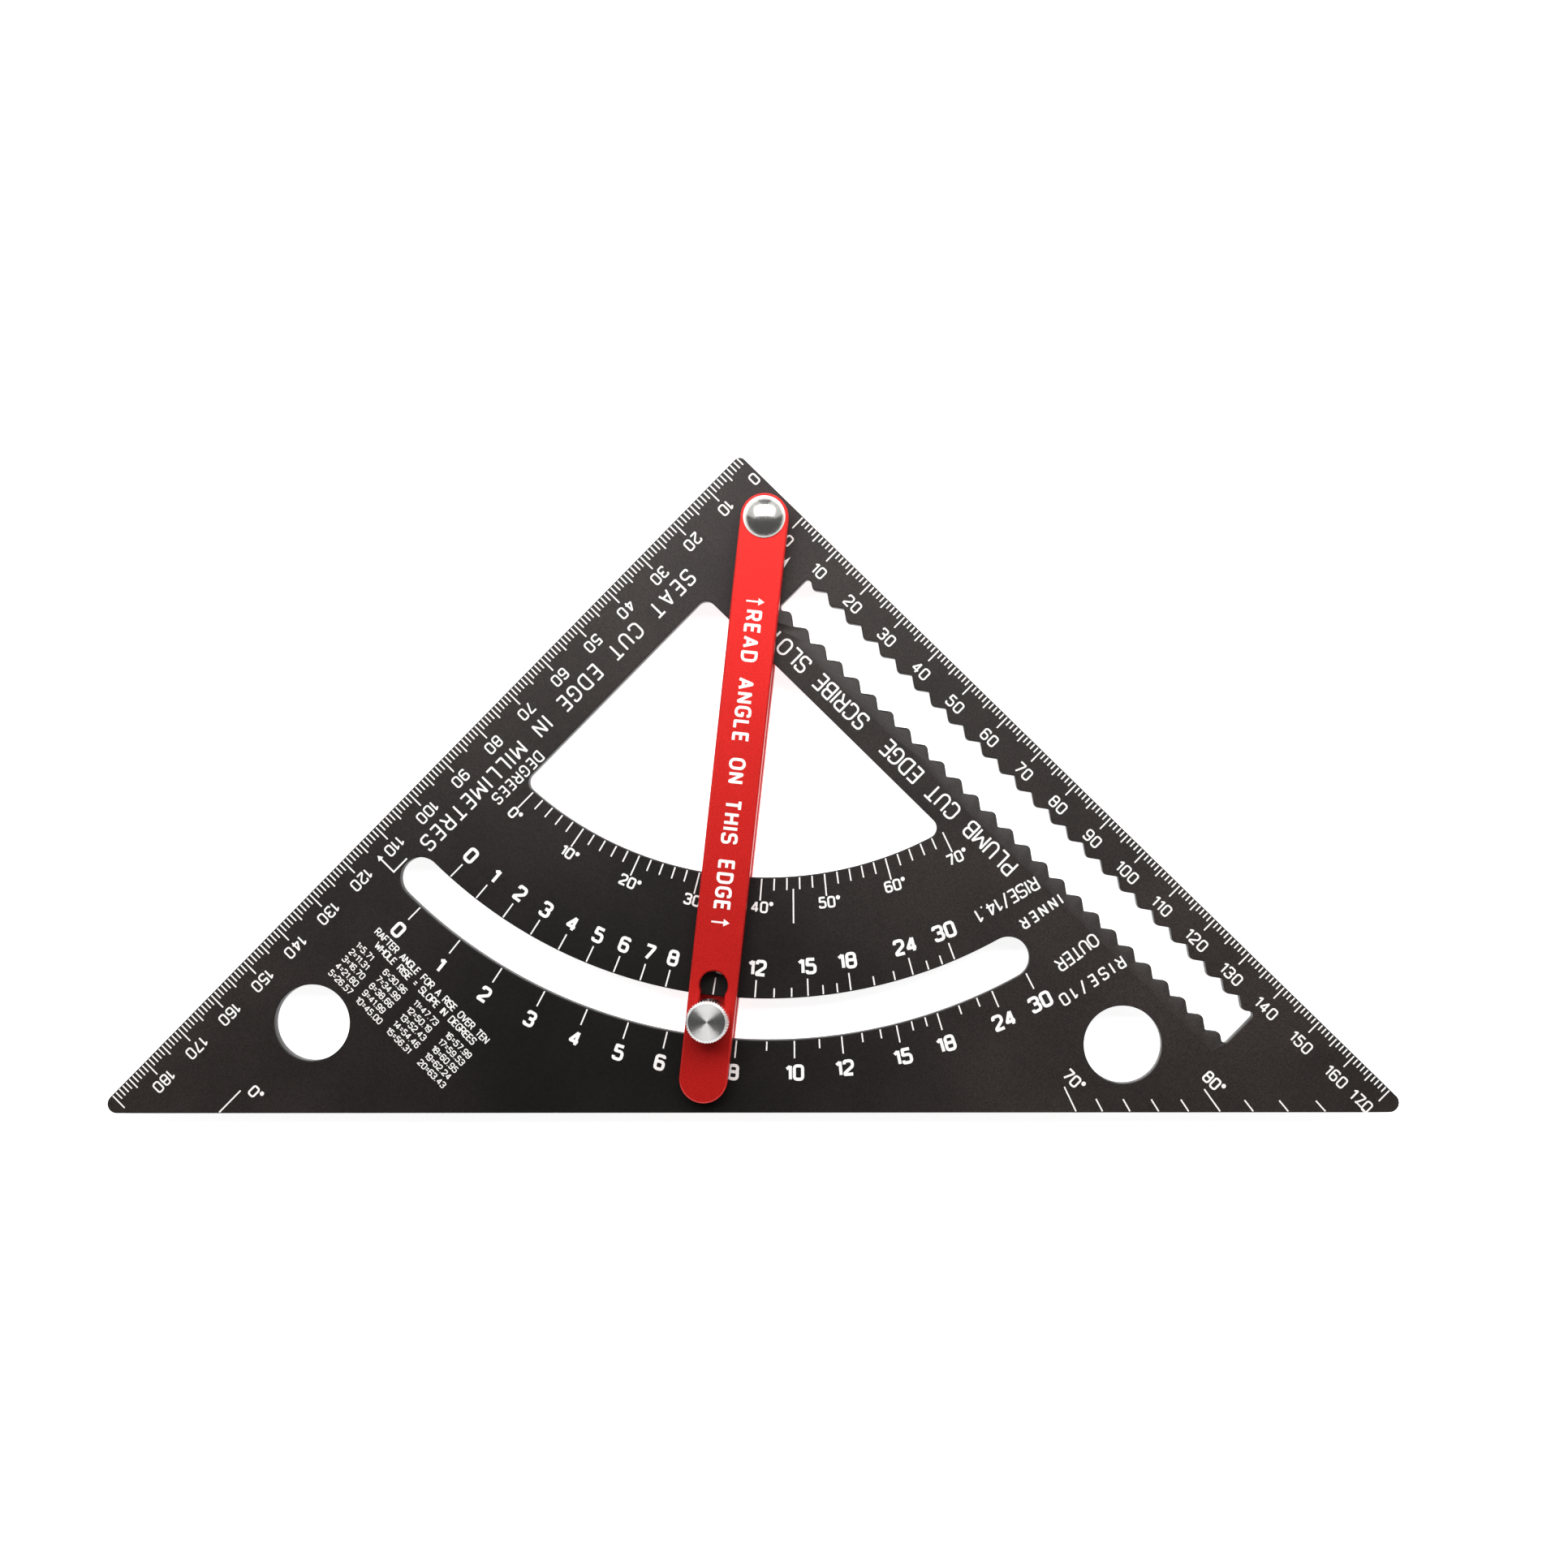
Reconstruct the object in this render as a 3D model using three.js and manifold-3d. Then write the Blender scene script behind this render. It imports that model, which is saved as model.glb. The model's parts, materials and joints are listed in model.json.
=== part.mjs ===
// Speed square with a swinging angle arm, in millimetres, +Z up.
//
// The square lies on its back. The origin is on the swing axis, on the flat tail of the pivot rivet.
// X runs along the seat edge and Y along the plumb edge, both away from the pivot corner.
// The arm is two bars that sandwich the plate. A knob on a screw clamps them through an arc slot.

import * as THREE from 'three';
import { mergeVertices } from 'three/addons/utils/BufferGeometryUtils.js';
import Module from 'manifold-3d';

const wasm = await Module();
wasm.setup();

// ---- driving dimensions: plate ----
const LEG = 195.5; // sharp corner to sharp corner along either leg
const PLATE_T = 3.0;
const PIVOT_TO_PLUMB_EDGE = 6.0;
const PIVOT_TO_SEAT_EDGE = 13.6;
const APEX_R = 1.5;
const CORNER_R = 2.0;

const WINDOW_INSET_X = 20.3; // window side parallel to the plumb edge, from the pivot
const WINDOW_INSET_Y = 2.4; // window side parallel to the seat edge, from the pivot
const WINDOW_ARC_R = 75.2;
const WINDOW_CORNER_R = 2.2;

const SLOT_R = 104.9; // middle of the arc slot
const SLOT_W = 8.7;
const SLOT_FROM_DEG = 0.5;
const SLOT_TO_DEG = 73.5;

const HANG_HOLE_R = 8.05;
const SEAT_HANG_HOLE = [142.9, 6.0];
const PLUMB_HANG_HOLE = [26.0, 130.0];

const TOOTH_COUNT = 26;
const TOOTH_PITCH = 5.0;
const TOOTH_TIP_R = 0.7;
const TOOTHED_SLOT_Y = 14.95; // closed end of the slot that is nearer the pivot
const OUTER_VALLEY_X = 1.8;
const OUTER_TIP_X = 3.4;
const INNER_TIP_X = 10.2;
const INNER_VALLEY_X = 11.9;

// ---- driving dimensions: arm and clamp ----
const ARM_REST_DEG = 38.4; // arm direction from X, as the angle scale reads it
const ARM_W = 10.0;
const ARM_TIP = 122.6; // pivot to the far tip
const BAR_T = 4.0;
const CLAMP_AT = 105.0; // pivot to the clamp screw, along the arm
const KEYHOLE_AT = 98.1;
const KEYHOLE_R = 3.0;
const KEYHOLE_SLOT_W = 5.2;

const RIVET_SHANK_R = 2.5;
const RIVET_DOME_R = 4.4;
const RIVET_RIM_T = 0.3;
const RIVET_DOME_H = 2.2;
const RIVET_TAIL_R = 3.5;
const RIVET_TAIL_T = 0.9;
const BURR_R = 4.6;
const BURR_T = 0.4;
const SHIM_R = 4.8;
const SHIM_T = 0.3;

const SCREW_R = 2.0;
const SCREW_HEAD_R = 4.5;
const SCREW_HEAD_T = 1.3;
const SCREW_NECK = 4.0; // side of the square neck that the back bar holds
const COLLAR_R = 3.2;
const COLLAR_T = 2.8;
const CLAMP_WASHER_R = 4.1;
const CLAMP_WASHER_T = 0.6;
const KNOB_R = 4.4;
const KNOB_H = 7.4;
const KNOB_CHAMFER = 0.6;
const KNOB_BORE_DEPTH = 5.6;
const THREAD_ENGAGED = 5.2; // screw length inside the knob when it is tight

const FACE_GAP = 0.05; // running clearance between stacked faces
const BORE_GAP = 0.3; // radial clearance round a shank or a neck

// ---- heights of the stack, from the back to the front ----
const Z_BURR = RIVET_TAIL_T + FACE_GAP;
const Z_BACK_BAR = Z_BURR + BURR_T + FACE_GAP;
const Z_BACK_SHIM = Z_BACK_BAR + BAR_T + FACE_GAP;
const Z_PLATE = Z_BACK_SHIM + SHIM_T + FACE_GAP;
const Z_FRONT_SHIM = Z_PLATE + PLATE_T + FACE_GAP;
const Z_FRONT_BAR = Z_FRONT_SHIM + SHIM_T + FACE_GAP;
const Z_DOME = Z_FRONT_BAR + BAR_T + FACE_GAP;
const Z_CLAMP_WASHER = Z_DOME;
const Z_KNOB = Z_CLAMP_WASHER + CLAMP_WASHER_T + FACE_GAP;
const Z_COLLAR = Z_PLATE + (PLATE_T - COLLAR_T) / 2;

const ROUND_SEGMENTS = 48;
const ARC_STEP = THREE.MathUtils.degToRad(3);

// ---- helpers: outlines ----

// Points of an arc, both ends included, from angle a to angle b in radians.
function arc(cx, cy, r, a, b, step = Math.PI / 14) {
  const n = Math.max(2, Math.ceil(Math.abs(b - a) / step));
  const points = [];
  for (let i = 0; i <= n; i++) {
    const t = a + ((b - a) * i) / n;
    points.push(new THREE.Vector2(cx + r * Math.cos(t), cy + r * Math.sin(t)));
  }
  return points;
}

function circle(cx, cy, r, segments = ROUND_SEGMENTS) {
  return arc(cx, cy, r, 0, 2 * Math.PI, (2 * Math.PI) / segments).slice(0, -1);
}

// A polygon whose corners are [x, y, radius], each rounded by its own radius.
function roundedPolygon(corners) {
  const points = [];
  corners.forEach(([x, y, r], i) => {
    const at = new THREE.Vector2(x, y);
    const [px, py] = corners[(i + corners.length - 1) % corners.length];
    const [nx, ny] = corners[(i + 1) % corners.length];
    const toPrev = new THREE.Vector2(px, py).sub(at).normalize();
    const toNext = new THREE.Vector2(nx, ny).sub(at).normalize();
    const half = Math.acos(toPrev.dot(toNext)) / 2;
    const bisector = toPrev.clone().add(toNext).normalize();
    const centre = at.clone().addScaledVector(bisector, r / Math.sin(half));
    const start = at.clone().addScaledVector(toPrev, r / Math.tan(half)).sub(centre);
    const end = at.clone().addScaledVector(toNext, r / Math.tan(half)).sub(centre);
    let sweep = end.angle() - start.angle();
    if (sweep > Math.PI) sweep -= 2 * Math.PI;
    if (sweep < -Math.PI) sweep += 2 * Math.PI;
    points.push(...arc(centre.x, centre.y, r, start.angle(), start.angle() + sweep));
  });
  return points;
}

// ---- helpers: solids ----

// A closed mesh from any geometry: shared vertices merged and collapsed triangles removed.
function closed(geometry) {
  geometry.deleteAttribute('normal');
  geometry.deleteAttribute('uv');
  const merged = mergeVertices(geometry, 1e-4);
  const kept = [];
  const index = merged.index.array;
  for (let i = 0; i < index.length; i += 3) {
    const [a, b, c] = [index[i], index[i + 1], index[i + 2]];
    if (a !== b && b !== c && c !== a) kept.push(a, b, c);
  }
  merged.setIndex(kept);
  return merged;
}

function extrude(outline, holes, height) {
  const shape = new THREE.Shape(outline);
  for (const hole of holes) shape.holes.push(new THREE.Path(hole));
  return closed(new THREE.ExtrudeGeometry(shape, { depth: height, bevelEnabled: false }));
}

// A solid of revolution about Z from [radius, z] pairs, listed from the bottom to the top outside.
function lathe(profile, segments = ROUND_SEGMENTS) {
  const points = profile.map(([r, z]) => new THREE.Vector2(r, z));
  return closed(new THREE.LatheGeometry(points, segments).rotateX(Math.PI / 2));
}

function ring(innerR, outerR, height) {
  return lathe([[innerR, 0], [outerR, 0], [outerR, height], [innerR, height], [innerR, 0]]);
}

function toManifold(geometry) {
  return new wasm.Manifold(new wasm.Mesh({
    numProp: 3,
    vertProperties: new Float32Array(geometry.attributes.position.array),
    triVerts: new Uint32Array(geometry.index.array),
  }));
}

function fromManifold(solid) {
  const mesh = solid.getMesh();
  const geometry = new THREE.BufferGeometry();
  geometry.setAttribute('position', new THREE.BufferAttribute(mesh.vertProperties, 3));
  geometry.setIndex(new THREE.BufferAttribute(mesh.triVerts, 1));
  return geometry;
}

function named(name, geometry, color, roughness, metalness) {
  const mesh = new THREE.Mesh(geometry, new THREE.MeshStandardMaterial({ color, roughness, metalness }));
  mesh.name = name;
  return mesh;
}

// ---- plate ----

function plateOutline() {
  const x = -PIVOT_TO_PLUMB_EDGE;
  const y = -PIVOT_TO_SEAT_EDGE;
  return roundedPolygon([[x, y, APEX_R], [x + LEG, y, CORNER_R], [x, y + LEG, CORNER_R]]);
}

// The window: two straight sides that meet in a rounded corner, closed by an arc about the pivot.
function windowOutline() {
  const r = WINDOW_CORNER_R;
  const seatX = Math.sqrt((WINDOW_ARC_R - r) ** 2 - (WINDOW_INSET_Y + r) ** 2);
  const plumbY = Math.sqrt((WINDOW_ARC_R - r) ** 2 - (WINDOW_INSET_X + r) ** 2);
  const seatAngle = Math.atan2(WINDOW_INSET_Y + r, seatX);
  const plumbAngle = Math.atan2(plumbY, WINDOW_INSET_X + r);
  return [
    ...arc(WINDOW_INSET_X + r, WINDOW_INSET_Y + r, r, Math.PI, 1.5 * Math.PI),
    ...arc(seatX, WINDOW_INSET_Y + r, r, -Math.PI / 2, seatAngle),
    ...arc(0, 0, WINDOW_ARC_R, seatAngle, plumbAngle, ARC_STEP),
    ...arc(WINDOW_INSET_X + r, plumbY, r, plumbAngle, Math.PI),
  ];
}

function arcSlotOutline() {
  const from = THREE.MathUtils.degToRad(SLOT_FROM_DEG);
  const to = THREE.MathUtils.degToRad(SLOT_TO_DEG);
  const half = SLOT_W / 2;
  const end = (angle, turn) =>
    arc(SLOT_R * Math.cos(angle), SLOT_R * Math.sin(angle), half, turn, turn + Math.PI);
  return [
    ...arc(0, 0, SLOT_R + half, from, to, ARC_STEP),
    ...end(to, to),
    ...arc(0, 0, SLOT_R - half, to, from, ARC_STEP),
    ...end(from, from + Math.PI),
  ];
}

// One long side of the toothed slot, from the pivot end outwards.
// Every tooth has a rounded tip at its middle and sharp valleys half a pitch to either side.
function toothedSide(valleyX, tipX) {
  const towardTip = Math.sign(tipX - valleyX);
  const points = [];
  for (let k = 0; k < TOOTH_COUNT; k++) {
    const y = TOOTHED_SLOT_Y + k * TOOTH_PITCH;
    points.push(new THREE.Vector2(valleyX, y));
    const middle = y + TOOTH_PITCH / 2;
    for (const tilt of [-50, 0, 50]) {
      const t = THREE.MathUtils.degToRad(tilt);
      const tip = tipX - towardTip * TOOTH_TIP_R * (1 - Math.cos(t));
      points.push(new THREE.Vector2(tip, middle + TOOTH_TIP_R * Math.sin(t)));
    }
  }
  points.push(new THREE.Vector2(valleyX, TOOTHED_SLOT_Y + TOOTH_COUNT * TOOTH_PITCH));
  return points;
}

function toothedSlotOutline() {
  const outer = toothedSide(OUTER_VALLEY_X, OUTER_TIP_X);
  const inner = toothedSide(INNER_VALLEY_X, INNER_TIP_X);
  return [...inner, ...outer.reverse()];
}

function plateGeometry() {
  const holes = [
    windowOutline(),
    arcSlotOutline(),
    toothedSlotOutline(),
    circle(...SEAT_HANG_HOLE, HANG_HOLE_R),
    circle(...PLUMB_HANG_HOLE, HANG_HOLE_R),
    circle(0, 0, RIVET_SHANK_R + BORE_GAP),
  ];
  return extrude(plateOutline(), holes, PLATE_T);
}

// ---- arm: both bars lie along X here, and their group turns them to the rest angle ----

function barOutline() {
  const r = ARM_W / 2;
  return [
    ...arc(ARM_TIP - r, 0, r, -Math.PI / 2, Math.PI / 2),
    ...arc(0, 0, r, Math.PI / 2, 1.5 * Math.PI),
  ];
}

// A round hole that opens into a slot with a round far end, under the knob.
function keyholeOutline() {
  const half = KEYHOLE_SLOT_W / 2;
  const mouth = Math.asin(half / KEYHOLE_R);
  return [
    ...arc(KEYHOLE_AT, 0, KEYHOLE_R, mouth, 2 * Math.PI - mouth),
    ...arc(CLAMP_AT, 0, half, -Math.PI / 2, Math.PI / 2),
  ];
}

function squareHole(x, side) {
  const h = side / 2;
  return [[x - h, -h], [x + h, -h], [x + h, h], [x - h, h]].map(([u, v]) => new THREE.Vector2(u, v));
}

function frontBarGeometry() {
  return extrude(barOutline(), [circle(0, 0, RIVET_SHANK_R + BORE_GAP), keyholeOutline()], BAR_T);
}

function backBarGeometry() {
  const neckHole = squareHole(CLAMP_AT, SCREW_NECK + 2 * BORE_GAP);
  return extrude(barOutline(), [circle(0, 0, RIVET_SHANK_R + BORE_GAP), neckHole], BAR_T);
}

// ---- pivot ----

// A domed factory head in front, and a flat formed tail behind.
function rivetGeometry() {
  const capH = RIVET_DOME_H - RIVET_RIM_T;
  const capR = (RIVET_DOME_R ** 2 + capH ** 2) / (2 * capH);
  const capCentreZ = Z_DOME + RIVET_DOME_H - capR;
  const rimAngle = Math.asin(RIVET_DOME_R / capR);
  const steps = 8;
  const dome = [];
  for (let i = 0; i <= steps; i++) {
    const t = rimAngle * (1 - i / steps);
    dome.push([capR * Math.sin(t), capCentreZ + capR * Math.cos(t)]);
  }
  return lathe([
    [0, 0],
    [RIVET_TAIL_R, 0],
    [RIVET_TAIL_R, RIVET_TAIL_T],
    [RIVET_SHANK_R, RIVET_TAIL_T],
    [RIVET_SHANK_R, Z_DOME],
    [RIVET_DOME_R, Z_DOME],
    ...dome,
  ]);
}

// ---- clamp ----

// A flat head, a square neck that the back bar keeps from turning, and a round threaded end.
function screwGeometry() {
  const top = Z_KNOB + THREAD_ENGAGED;
  const turned = toManifold(lathe([
    [0, 0],
    [SCREW_HEAD_R, 0],
    [SCREW_HEAD_R, SCREW_HEAD_T],
    [SCREW_R, SCREW_HEAD_T],
    [SCREW_R, top],
    [0, top],
  ]));
  const neckH = Z_BACK_BAR + BAR_T - FACE_GAP - SCREW_HEAD_T / 2;
  const neck = closed(new THREE.BoxGeometry(SCREW_NECK, SCREW_NECK, neckH));
  neck.translate(0, 0, SCREW_HEAD_T / 2 + neckH / 2);
  return fromManifold(turned.add(toManifold(neck)));
}

function knobGeometry() {
  const bore = SCREW_R + BORE_GAP;
  return lathe([
    [0, KNOB_BORE_DEPTH],
    [bore, KNOB_BORE_DEPTH],
    [bore, 0],
    [KNOB_R, 0],
    [KNOB_R, KNOB_H - KNOB_CHAMFER],
    [KNOB_R - KNOB_CHAMFER, KNOB_H],
    [0, KNOB_H],
  ]);
}

// ---- assembly ----

const BLACK = 0x262221;
const RED = 0xd02222;
const STEEL = 0xc4c4c2;
const NYLON = 0xe6e2d8;

const group = new THREE.Group();
const arm = new THREE.Group();
arm.rotation.z = THREE.MathUtils.degToRad(ARM_REST_DEG);
group.add(arm);

function place(parent, mesh, x, z) {
  mesh.position.set(x, 0, z);
  parent.add(mesh);
}

const boreR = RIVET_SHANK_R + BORE_GAP;
const screwBoreR = SCREW_R + BORE_GAP;

place(group, named('triangle_plate', plateGeometry(), BLACK, 0.45, 0.6), 0, Z_PLATE);
place(group, named('pivot_rivet', rivetGeometry(), STEEL, 0.1, 1.0), 0, 0);
place(group, named('rivet_burr_washer', ring(boreR, BURR_R, BURR_T), STEEL, 0.3, 1.0), 0, Z_BURR);

place(arm, named('back_arm_bar', backBarGeometry(), RED, 0.4, 0.7), 0, Z_BACK_BAR);
place(arm, named('front_arm_bar', frontBarGeometry(), RED, 0.4, 0.7), 0, Z_FRONT_BAR);
place(arm, named('back_pivot_shim', ring(boreR, SHIM_R, SHIM_T), NYLON, 0.5, 0.0), 0, Z_BACK_SHIM);
place(arm, named('front_pivot_shim', ring(boreR, SHIM_R, SHIM_T), NYLON, 0.5, 0.0), 0, Z_FRONT_SHIM);

const collar = ring(screwBoreR, COLLAR_R, COLLAR_T);
const washer = ring(screwBoreR, CLAMP_WASHER_R, CLAMP_WASHER_T);
place(arm, named('clamp_screw', screwGeometry(), STEEL, 0.35, 1.0), CLAMP_AT, 0);
place(arm, named('slot_guide_collar', collar, STEEL, 0.35, 1.0), CLAMP_AT, Z_COLLAR);
place(arm, named('clamp_washer', washer, STEEL, 0.3, 1.0), CLAMP_AT, Z_CLAMP_WASHER);
place(arm, named('clamp_knob', knobGeometry(), STEEL, 0.25, 1.0), CLAMP_AT, Z_KNOB);

export default group;
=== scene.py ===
# %% [markdown]
# # A speed square with a swinging angle arm
#
# The CAD model already settles every size, joint and stacking height, so this file only dresses it.
# Each CAD solid is faceted and plain. A finished piece with fine edges, marks and a real surface
# takes its place, in the same frame and in metres. The square lies on its back with +Z up, the
# seat edge runs along X and the plumb edge along Y.

# %% Load the frame
import json
import math

import bmesh
import bpy
from mathutils import Matrix, Vector


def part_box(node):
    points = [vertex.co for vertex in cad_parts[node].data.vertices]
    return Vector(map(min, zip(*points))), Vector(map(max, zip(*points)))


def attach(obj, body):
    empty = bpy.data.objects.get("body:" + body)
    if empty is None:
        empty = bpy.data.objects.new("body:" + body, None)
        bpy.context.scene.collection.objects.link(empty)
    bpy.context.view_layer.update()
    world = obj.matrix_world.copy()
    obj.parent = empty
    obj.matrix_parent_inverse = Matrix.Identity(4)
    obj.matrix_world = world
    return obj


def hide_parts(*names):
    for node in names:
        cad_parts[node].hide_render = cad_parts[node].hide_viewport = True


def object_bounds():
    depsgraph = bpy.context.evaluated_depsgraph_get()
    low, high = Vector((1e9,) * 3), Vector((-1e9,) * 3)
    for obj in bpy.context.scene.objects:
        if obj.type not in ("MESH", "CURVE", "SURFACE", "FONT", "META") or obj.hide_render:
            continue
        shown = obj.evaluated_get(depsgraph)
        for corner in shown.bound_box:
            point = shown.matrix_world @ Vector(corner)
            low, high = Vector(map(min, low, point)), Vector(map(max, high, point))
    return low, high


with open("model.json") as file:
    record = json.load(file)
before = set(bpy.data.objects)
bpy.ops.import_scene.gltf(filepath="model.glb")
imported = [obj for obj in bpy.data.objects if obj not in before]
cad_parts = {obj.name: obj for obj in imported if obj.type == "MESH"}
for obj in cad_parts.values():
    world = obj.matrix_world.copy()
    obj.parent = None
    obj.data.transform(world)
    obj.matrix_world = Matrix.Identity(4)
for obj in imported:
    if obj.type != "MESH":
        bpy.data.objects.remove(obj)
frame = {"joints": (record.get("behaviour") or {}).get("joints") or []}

cad_box = [list(corner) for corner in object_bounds()]
MM = 0.001
print("CAD box in mm:", [[round(v / MM, 2) for v in corner] for corner in cad_box])

# %% [markdown]
# ## Driving dimensions
#
# The heights and the outline come from the boxes of the CAD nodes. A rounded corner makes a box
# shorter than the sharp-cornered triangle, by an amount that only depends on the corner radius and
# its 45 degree angle, so the sharp leg can be worked back. The arm's direction and the place of
# the clamp come from the knob's joint. The rest are the plate's own design numbers.

# %% Dimensions
plate_low, plate_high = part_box("triangle_plate")
PLATE_TOP = plate_high.z
SEAT_Y = plate_low.y
PLUMB_X = plate_low.x
APEX_R = 1.5 * MM
CORNER_R = 2.0 * MM
LEG = plate_high.x - plate_low.x + CORNER_R * (1 / math.tan(math.radians(22.5)) - 1)

knob_joint = next(j for j in frame["joints"] if j["name"] == "knob_turn")
CLAMP = Vector(knob_joint["pos_m"])
ARM_TURN = math.atan2(CLAMP.y, CLAMP.x)
CLAMP_AT = math.hypot(CLAMP.x, CLAMP.y)

WINDOW_X = 20.3 * MM
WINDOW_Y = 2.4 * MM
WINDOW_ARC_R = 75.2 * MM
WINDOW_CORNER_R = 2.2 * MM
SLOT_R = 104.9 * MM
SLOT_W = 8.7 * MM
SLOT_ENDS = (math.radians(0.5), math.radians(73.5))
HANG_HOLE_R = 8.05 * MM
HANG_HOLES = ((142.9 * MM, 6.0 * MM), (26.0 * MM, 130.0 * MM))
RIVET_BORE_R = 2.8 * MM

TOOTH_COUNT = 26
TOOTH_PITCH = 5.0 * MM
TEETH_FROM = 14.95 * MM
OUTER_VALLEY_X, OUTER_TIP_X = 1.8 * MM, 3.4 * MM
INNER_TIP_X, INNER_VALLEY_X = 10.2 * MM, 11.9 * MM
print(f"leg {LEG / MM:.1f} mm, arm at {math.degrees(ARM_TURN):.1f} degrees, clamp {CLAMP_AT / MM:.1f} mm out")

# %% [markdown]
# ## Outlines
#
# Every flat piece here is cut from sheet or bar, so it is one outline with holes, given a
# thickness. Outlines could be drawn as Bezier curves, but arcs and rounded corners worked out by
# a formula keep the true radii, and the same two helpers then serve the plate, the bars and even
# the turned profiles.

# %% Outline helpers
def arc(cx, cy, r, a, b, step=math.radians(6)):
    """Points of an arc, both ends included, from angle a to angle b in radians."""
    n = max(2, math.ceil(abs(b - a) / step))
    return [(cx + r * math.cos(a + (b - a) * i / n), cy + r * math.sin(a + (b - a) * i / n))
            for i in range(n + 1)]


def circle(cx, cy, r, step=math.radians(4)):
    return arc(cx, cy, r, 0, 2 * math.pi, step)[:-1]


def rounded(points, closed=True, step=math.radians(12)):
    """A polyline of (x, y, radius) corners with each corner rounded as far as its sides allow."""
    out = []
    count = len(points)
    for i, (x, y, r) in enumerate(points):
        if not closed and i in (0, count - 1):
            out.append((x, y))
            continue
        at = Vector((x, y))
        back = Vector(points[i - 1][:2]) - at
        ahead = Vector(points[(i + 1) % count][:2]) - at
        half = back.angle(ahead) / 2
        reach = min(r / math.tan(half), 0.49 * back.length, 0.49 * ahead.length)
        if half > math.radians(89) or reach <= 0:
            out.append((x, y))
            continue
        r = reach * math.tan(half)
        middle = (back.normalized() + ahead.normalized()).normalized()
        centre = at + middle * (r / math.sin(half))
        first = at + back.normalized() * reach - centre
        last = at + ahead.normalized() * reach - centre
        start = math.atan2(first.y, first.x)
        sweep = math.atan2(last.y, last.x) - start
        sweep -= 2 * math.pi * round(sweep / (2 * math.pi))
        out += arc(centre.x, centre.y, r, start, start + sweep, step)
    return out


print("a rounded unit square has", len(rounded([(0, 0, .2), (1, 0, .2), (1, 1, .2), (0, 1, .2)])), "points")

# %% [markdown]
# ## From an outline to a piece
#
# A 2D curve object fills its outline, leaves the holes open, and can be given both a thickness
# and an edge break by its own extrude and bevel values. The bevel grows outwards, so an equal
# negative offset brings the walls back to the true size. The result is turned into a mesh and its
# doubles are merged, which leaves one closed body.

# %% Flat pieces
WELD = 0.002 * MM


def mesh_from(obj):
    """A plain mesh of what an object looks like with its modifiers."""
    depsgraph = bpy.context.evaluated_depsgraph_get()
    return bpy.data.meshes.new_from_object(obj.evaluated_get(depsgraph))


def add_object(name, data):
    obj = bpy.data.objects.new(name, data)
    bpy.context.scene.collection.objects.link(obj)
    return obj


def piece_from(name, mesh, material):
    """A finished object at the origin, with every face smooth and only real corners sharp."""
    mesh.name = name
    mesh.materials.clear()
    mesh.materials.append(material)
    mesh.polygons.foreach_set("use_smooth", [True] * len(mesh.polygons))
    mesh.set_sharp_from_angle(angle=math.radians(30))
    return add_object(name, mesh)


def keep_faces_flat(mesh):
    """Marks the rim of every level face sharp, so that a bevel's shading doesn't spill over it."""
    level = [abs(face.normal.z) > 0.999 for face in mesh.polygons]
    seen = {}
    for face in mesh.polygons:
        for key in face.edge_keys:
            seen.setdefault(key, []).append(level[face.index])
    for edge in mesh.edges:
        sides = seen.get(tuple(sorted(edge.vertices)), [])
        if len(sides) == 2 and sides[0] != sides[1]:
            edge.use_edge_sharp = True


def flat_piece(name, outlines, low, high, edge, rounds, material):
    """A plate from low to high with an edge break of that size, flat if rounds is 0."""
    curve = bpy.data.curves.new(name, "CURVE")
    curve.dimensions = "2D"
    curve.fill_mode = "BOTH"
    curve.extrude = (high - low) / 2 - edge
    curve.bevel_depth = edge
    curve.bevel_resolution = rounds
    curve.offset = -edge
    for outline in outlines:
        spline = curve.splines.new("POLY")
        spline.points.add(len(outline) - 1)
        for point, (x, y) in zip(spline.points, outline):
            point.co = (x, y, 0, 1)
        spline.use_cyclic_u = True
    source = add_object(name, curve)
    mesh = mesh_from(source)
    bpy.data.objects.remove(source)
    bpy.data.curves.remove(curve)
    mesh.transform(Matrix.Translation((0, 0, (low + high) / 2)))
    tidy = bmesh.new()
    tidy.from_mesh(mesh)
    bmesh.ops.remove_doubles(tidy, verts=tidy.verts, dist=WELD)
    bmesh.ops.recalc_face_normals(tidy, faces=tidy.faces)
    tidy.to_mesh(mesh)
    tidy.free()
    return piece_from(name, mesh, material)


# %% [markdown]
# ## Turned pieces
#
# Rivet, washers, collar, screw and knob all come off a lathe or a press, so each is a half
# profile swept about its own axis. A Screw modifier would do it, but writing the rings directly
# gives clean poles and lets the knob's rings line up with its knurl.

# %% Turned pieces
def turned_mesh(name, profile, centre, segments=96):
    """A closed mesh of revolution from (radius, height) pairs. A radius of 0 becomes one pole."""
    body = bmesh.new()
    rings = []
    for r, z in profile:
        if r < 1e-9:
            rings.append([body.verts.new((centre.x, centre.y, z))])
            continue
        turns = [2 * math.pi * i / segments for i in range(segments)]
        rings.append([body.verts.new((centre.x + r * math.cos(t), centre.y + r * math.sin(t), z))
                      for t in turns])
    if len(rings[0]) > 1:
        rings.append(rings[0])
    for lower, upper in zip(rings, rings[1:]):
        for i in range(segments):
            j = (i + 1) % segments
            if len(lower) == 1:
                body.faces.new((lower[0], upper[j], upper[i]))
            elif len(upper) == 1:
                body.faces.new((lower[i], lower[j], upper[0]))
            else:
                body.faces.new((lower[i], lower[j], upper[j], upper[i]))
    bmesh.ops.recalc_face_normals(body, faces=body.faces)
    mesh = bpy.data.meshes.new(name)
    body.to_mesh(mesh)
    body.free()
    return mesh


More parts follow.
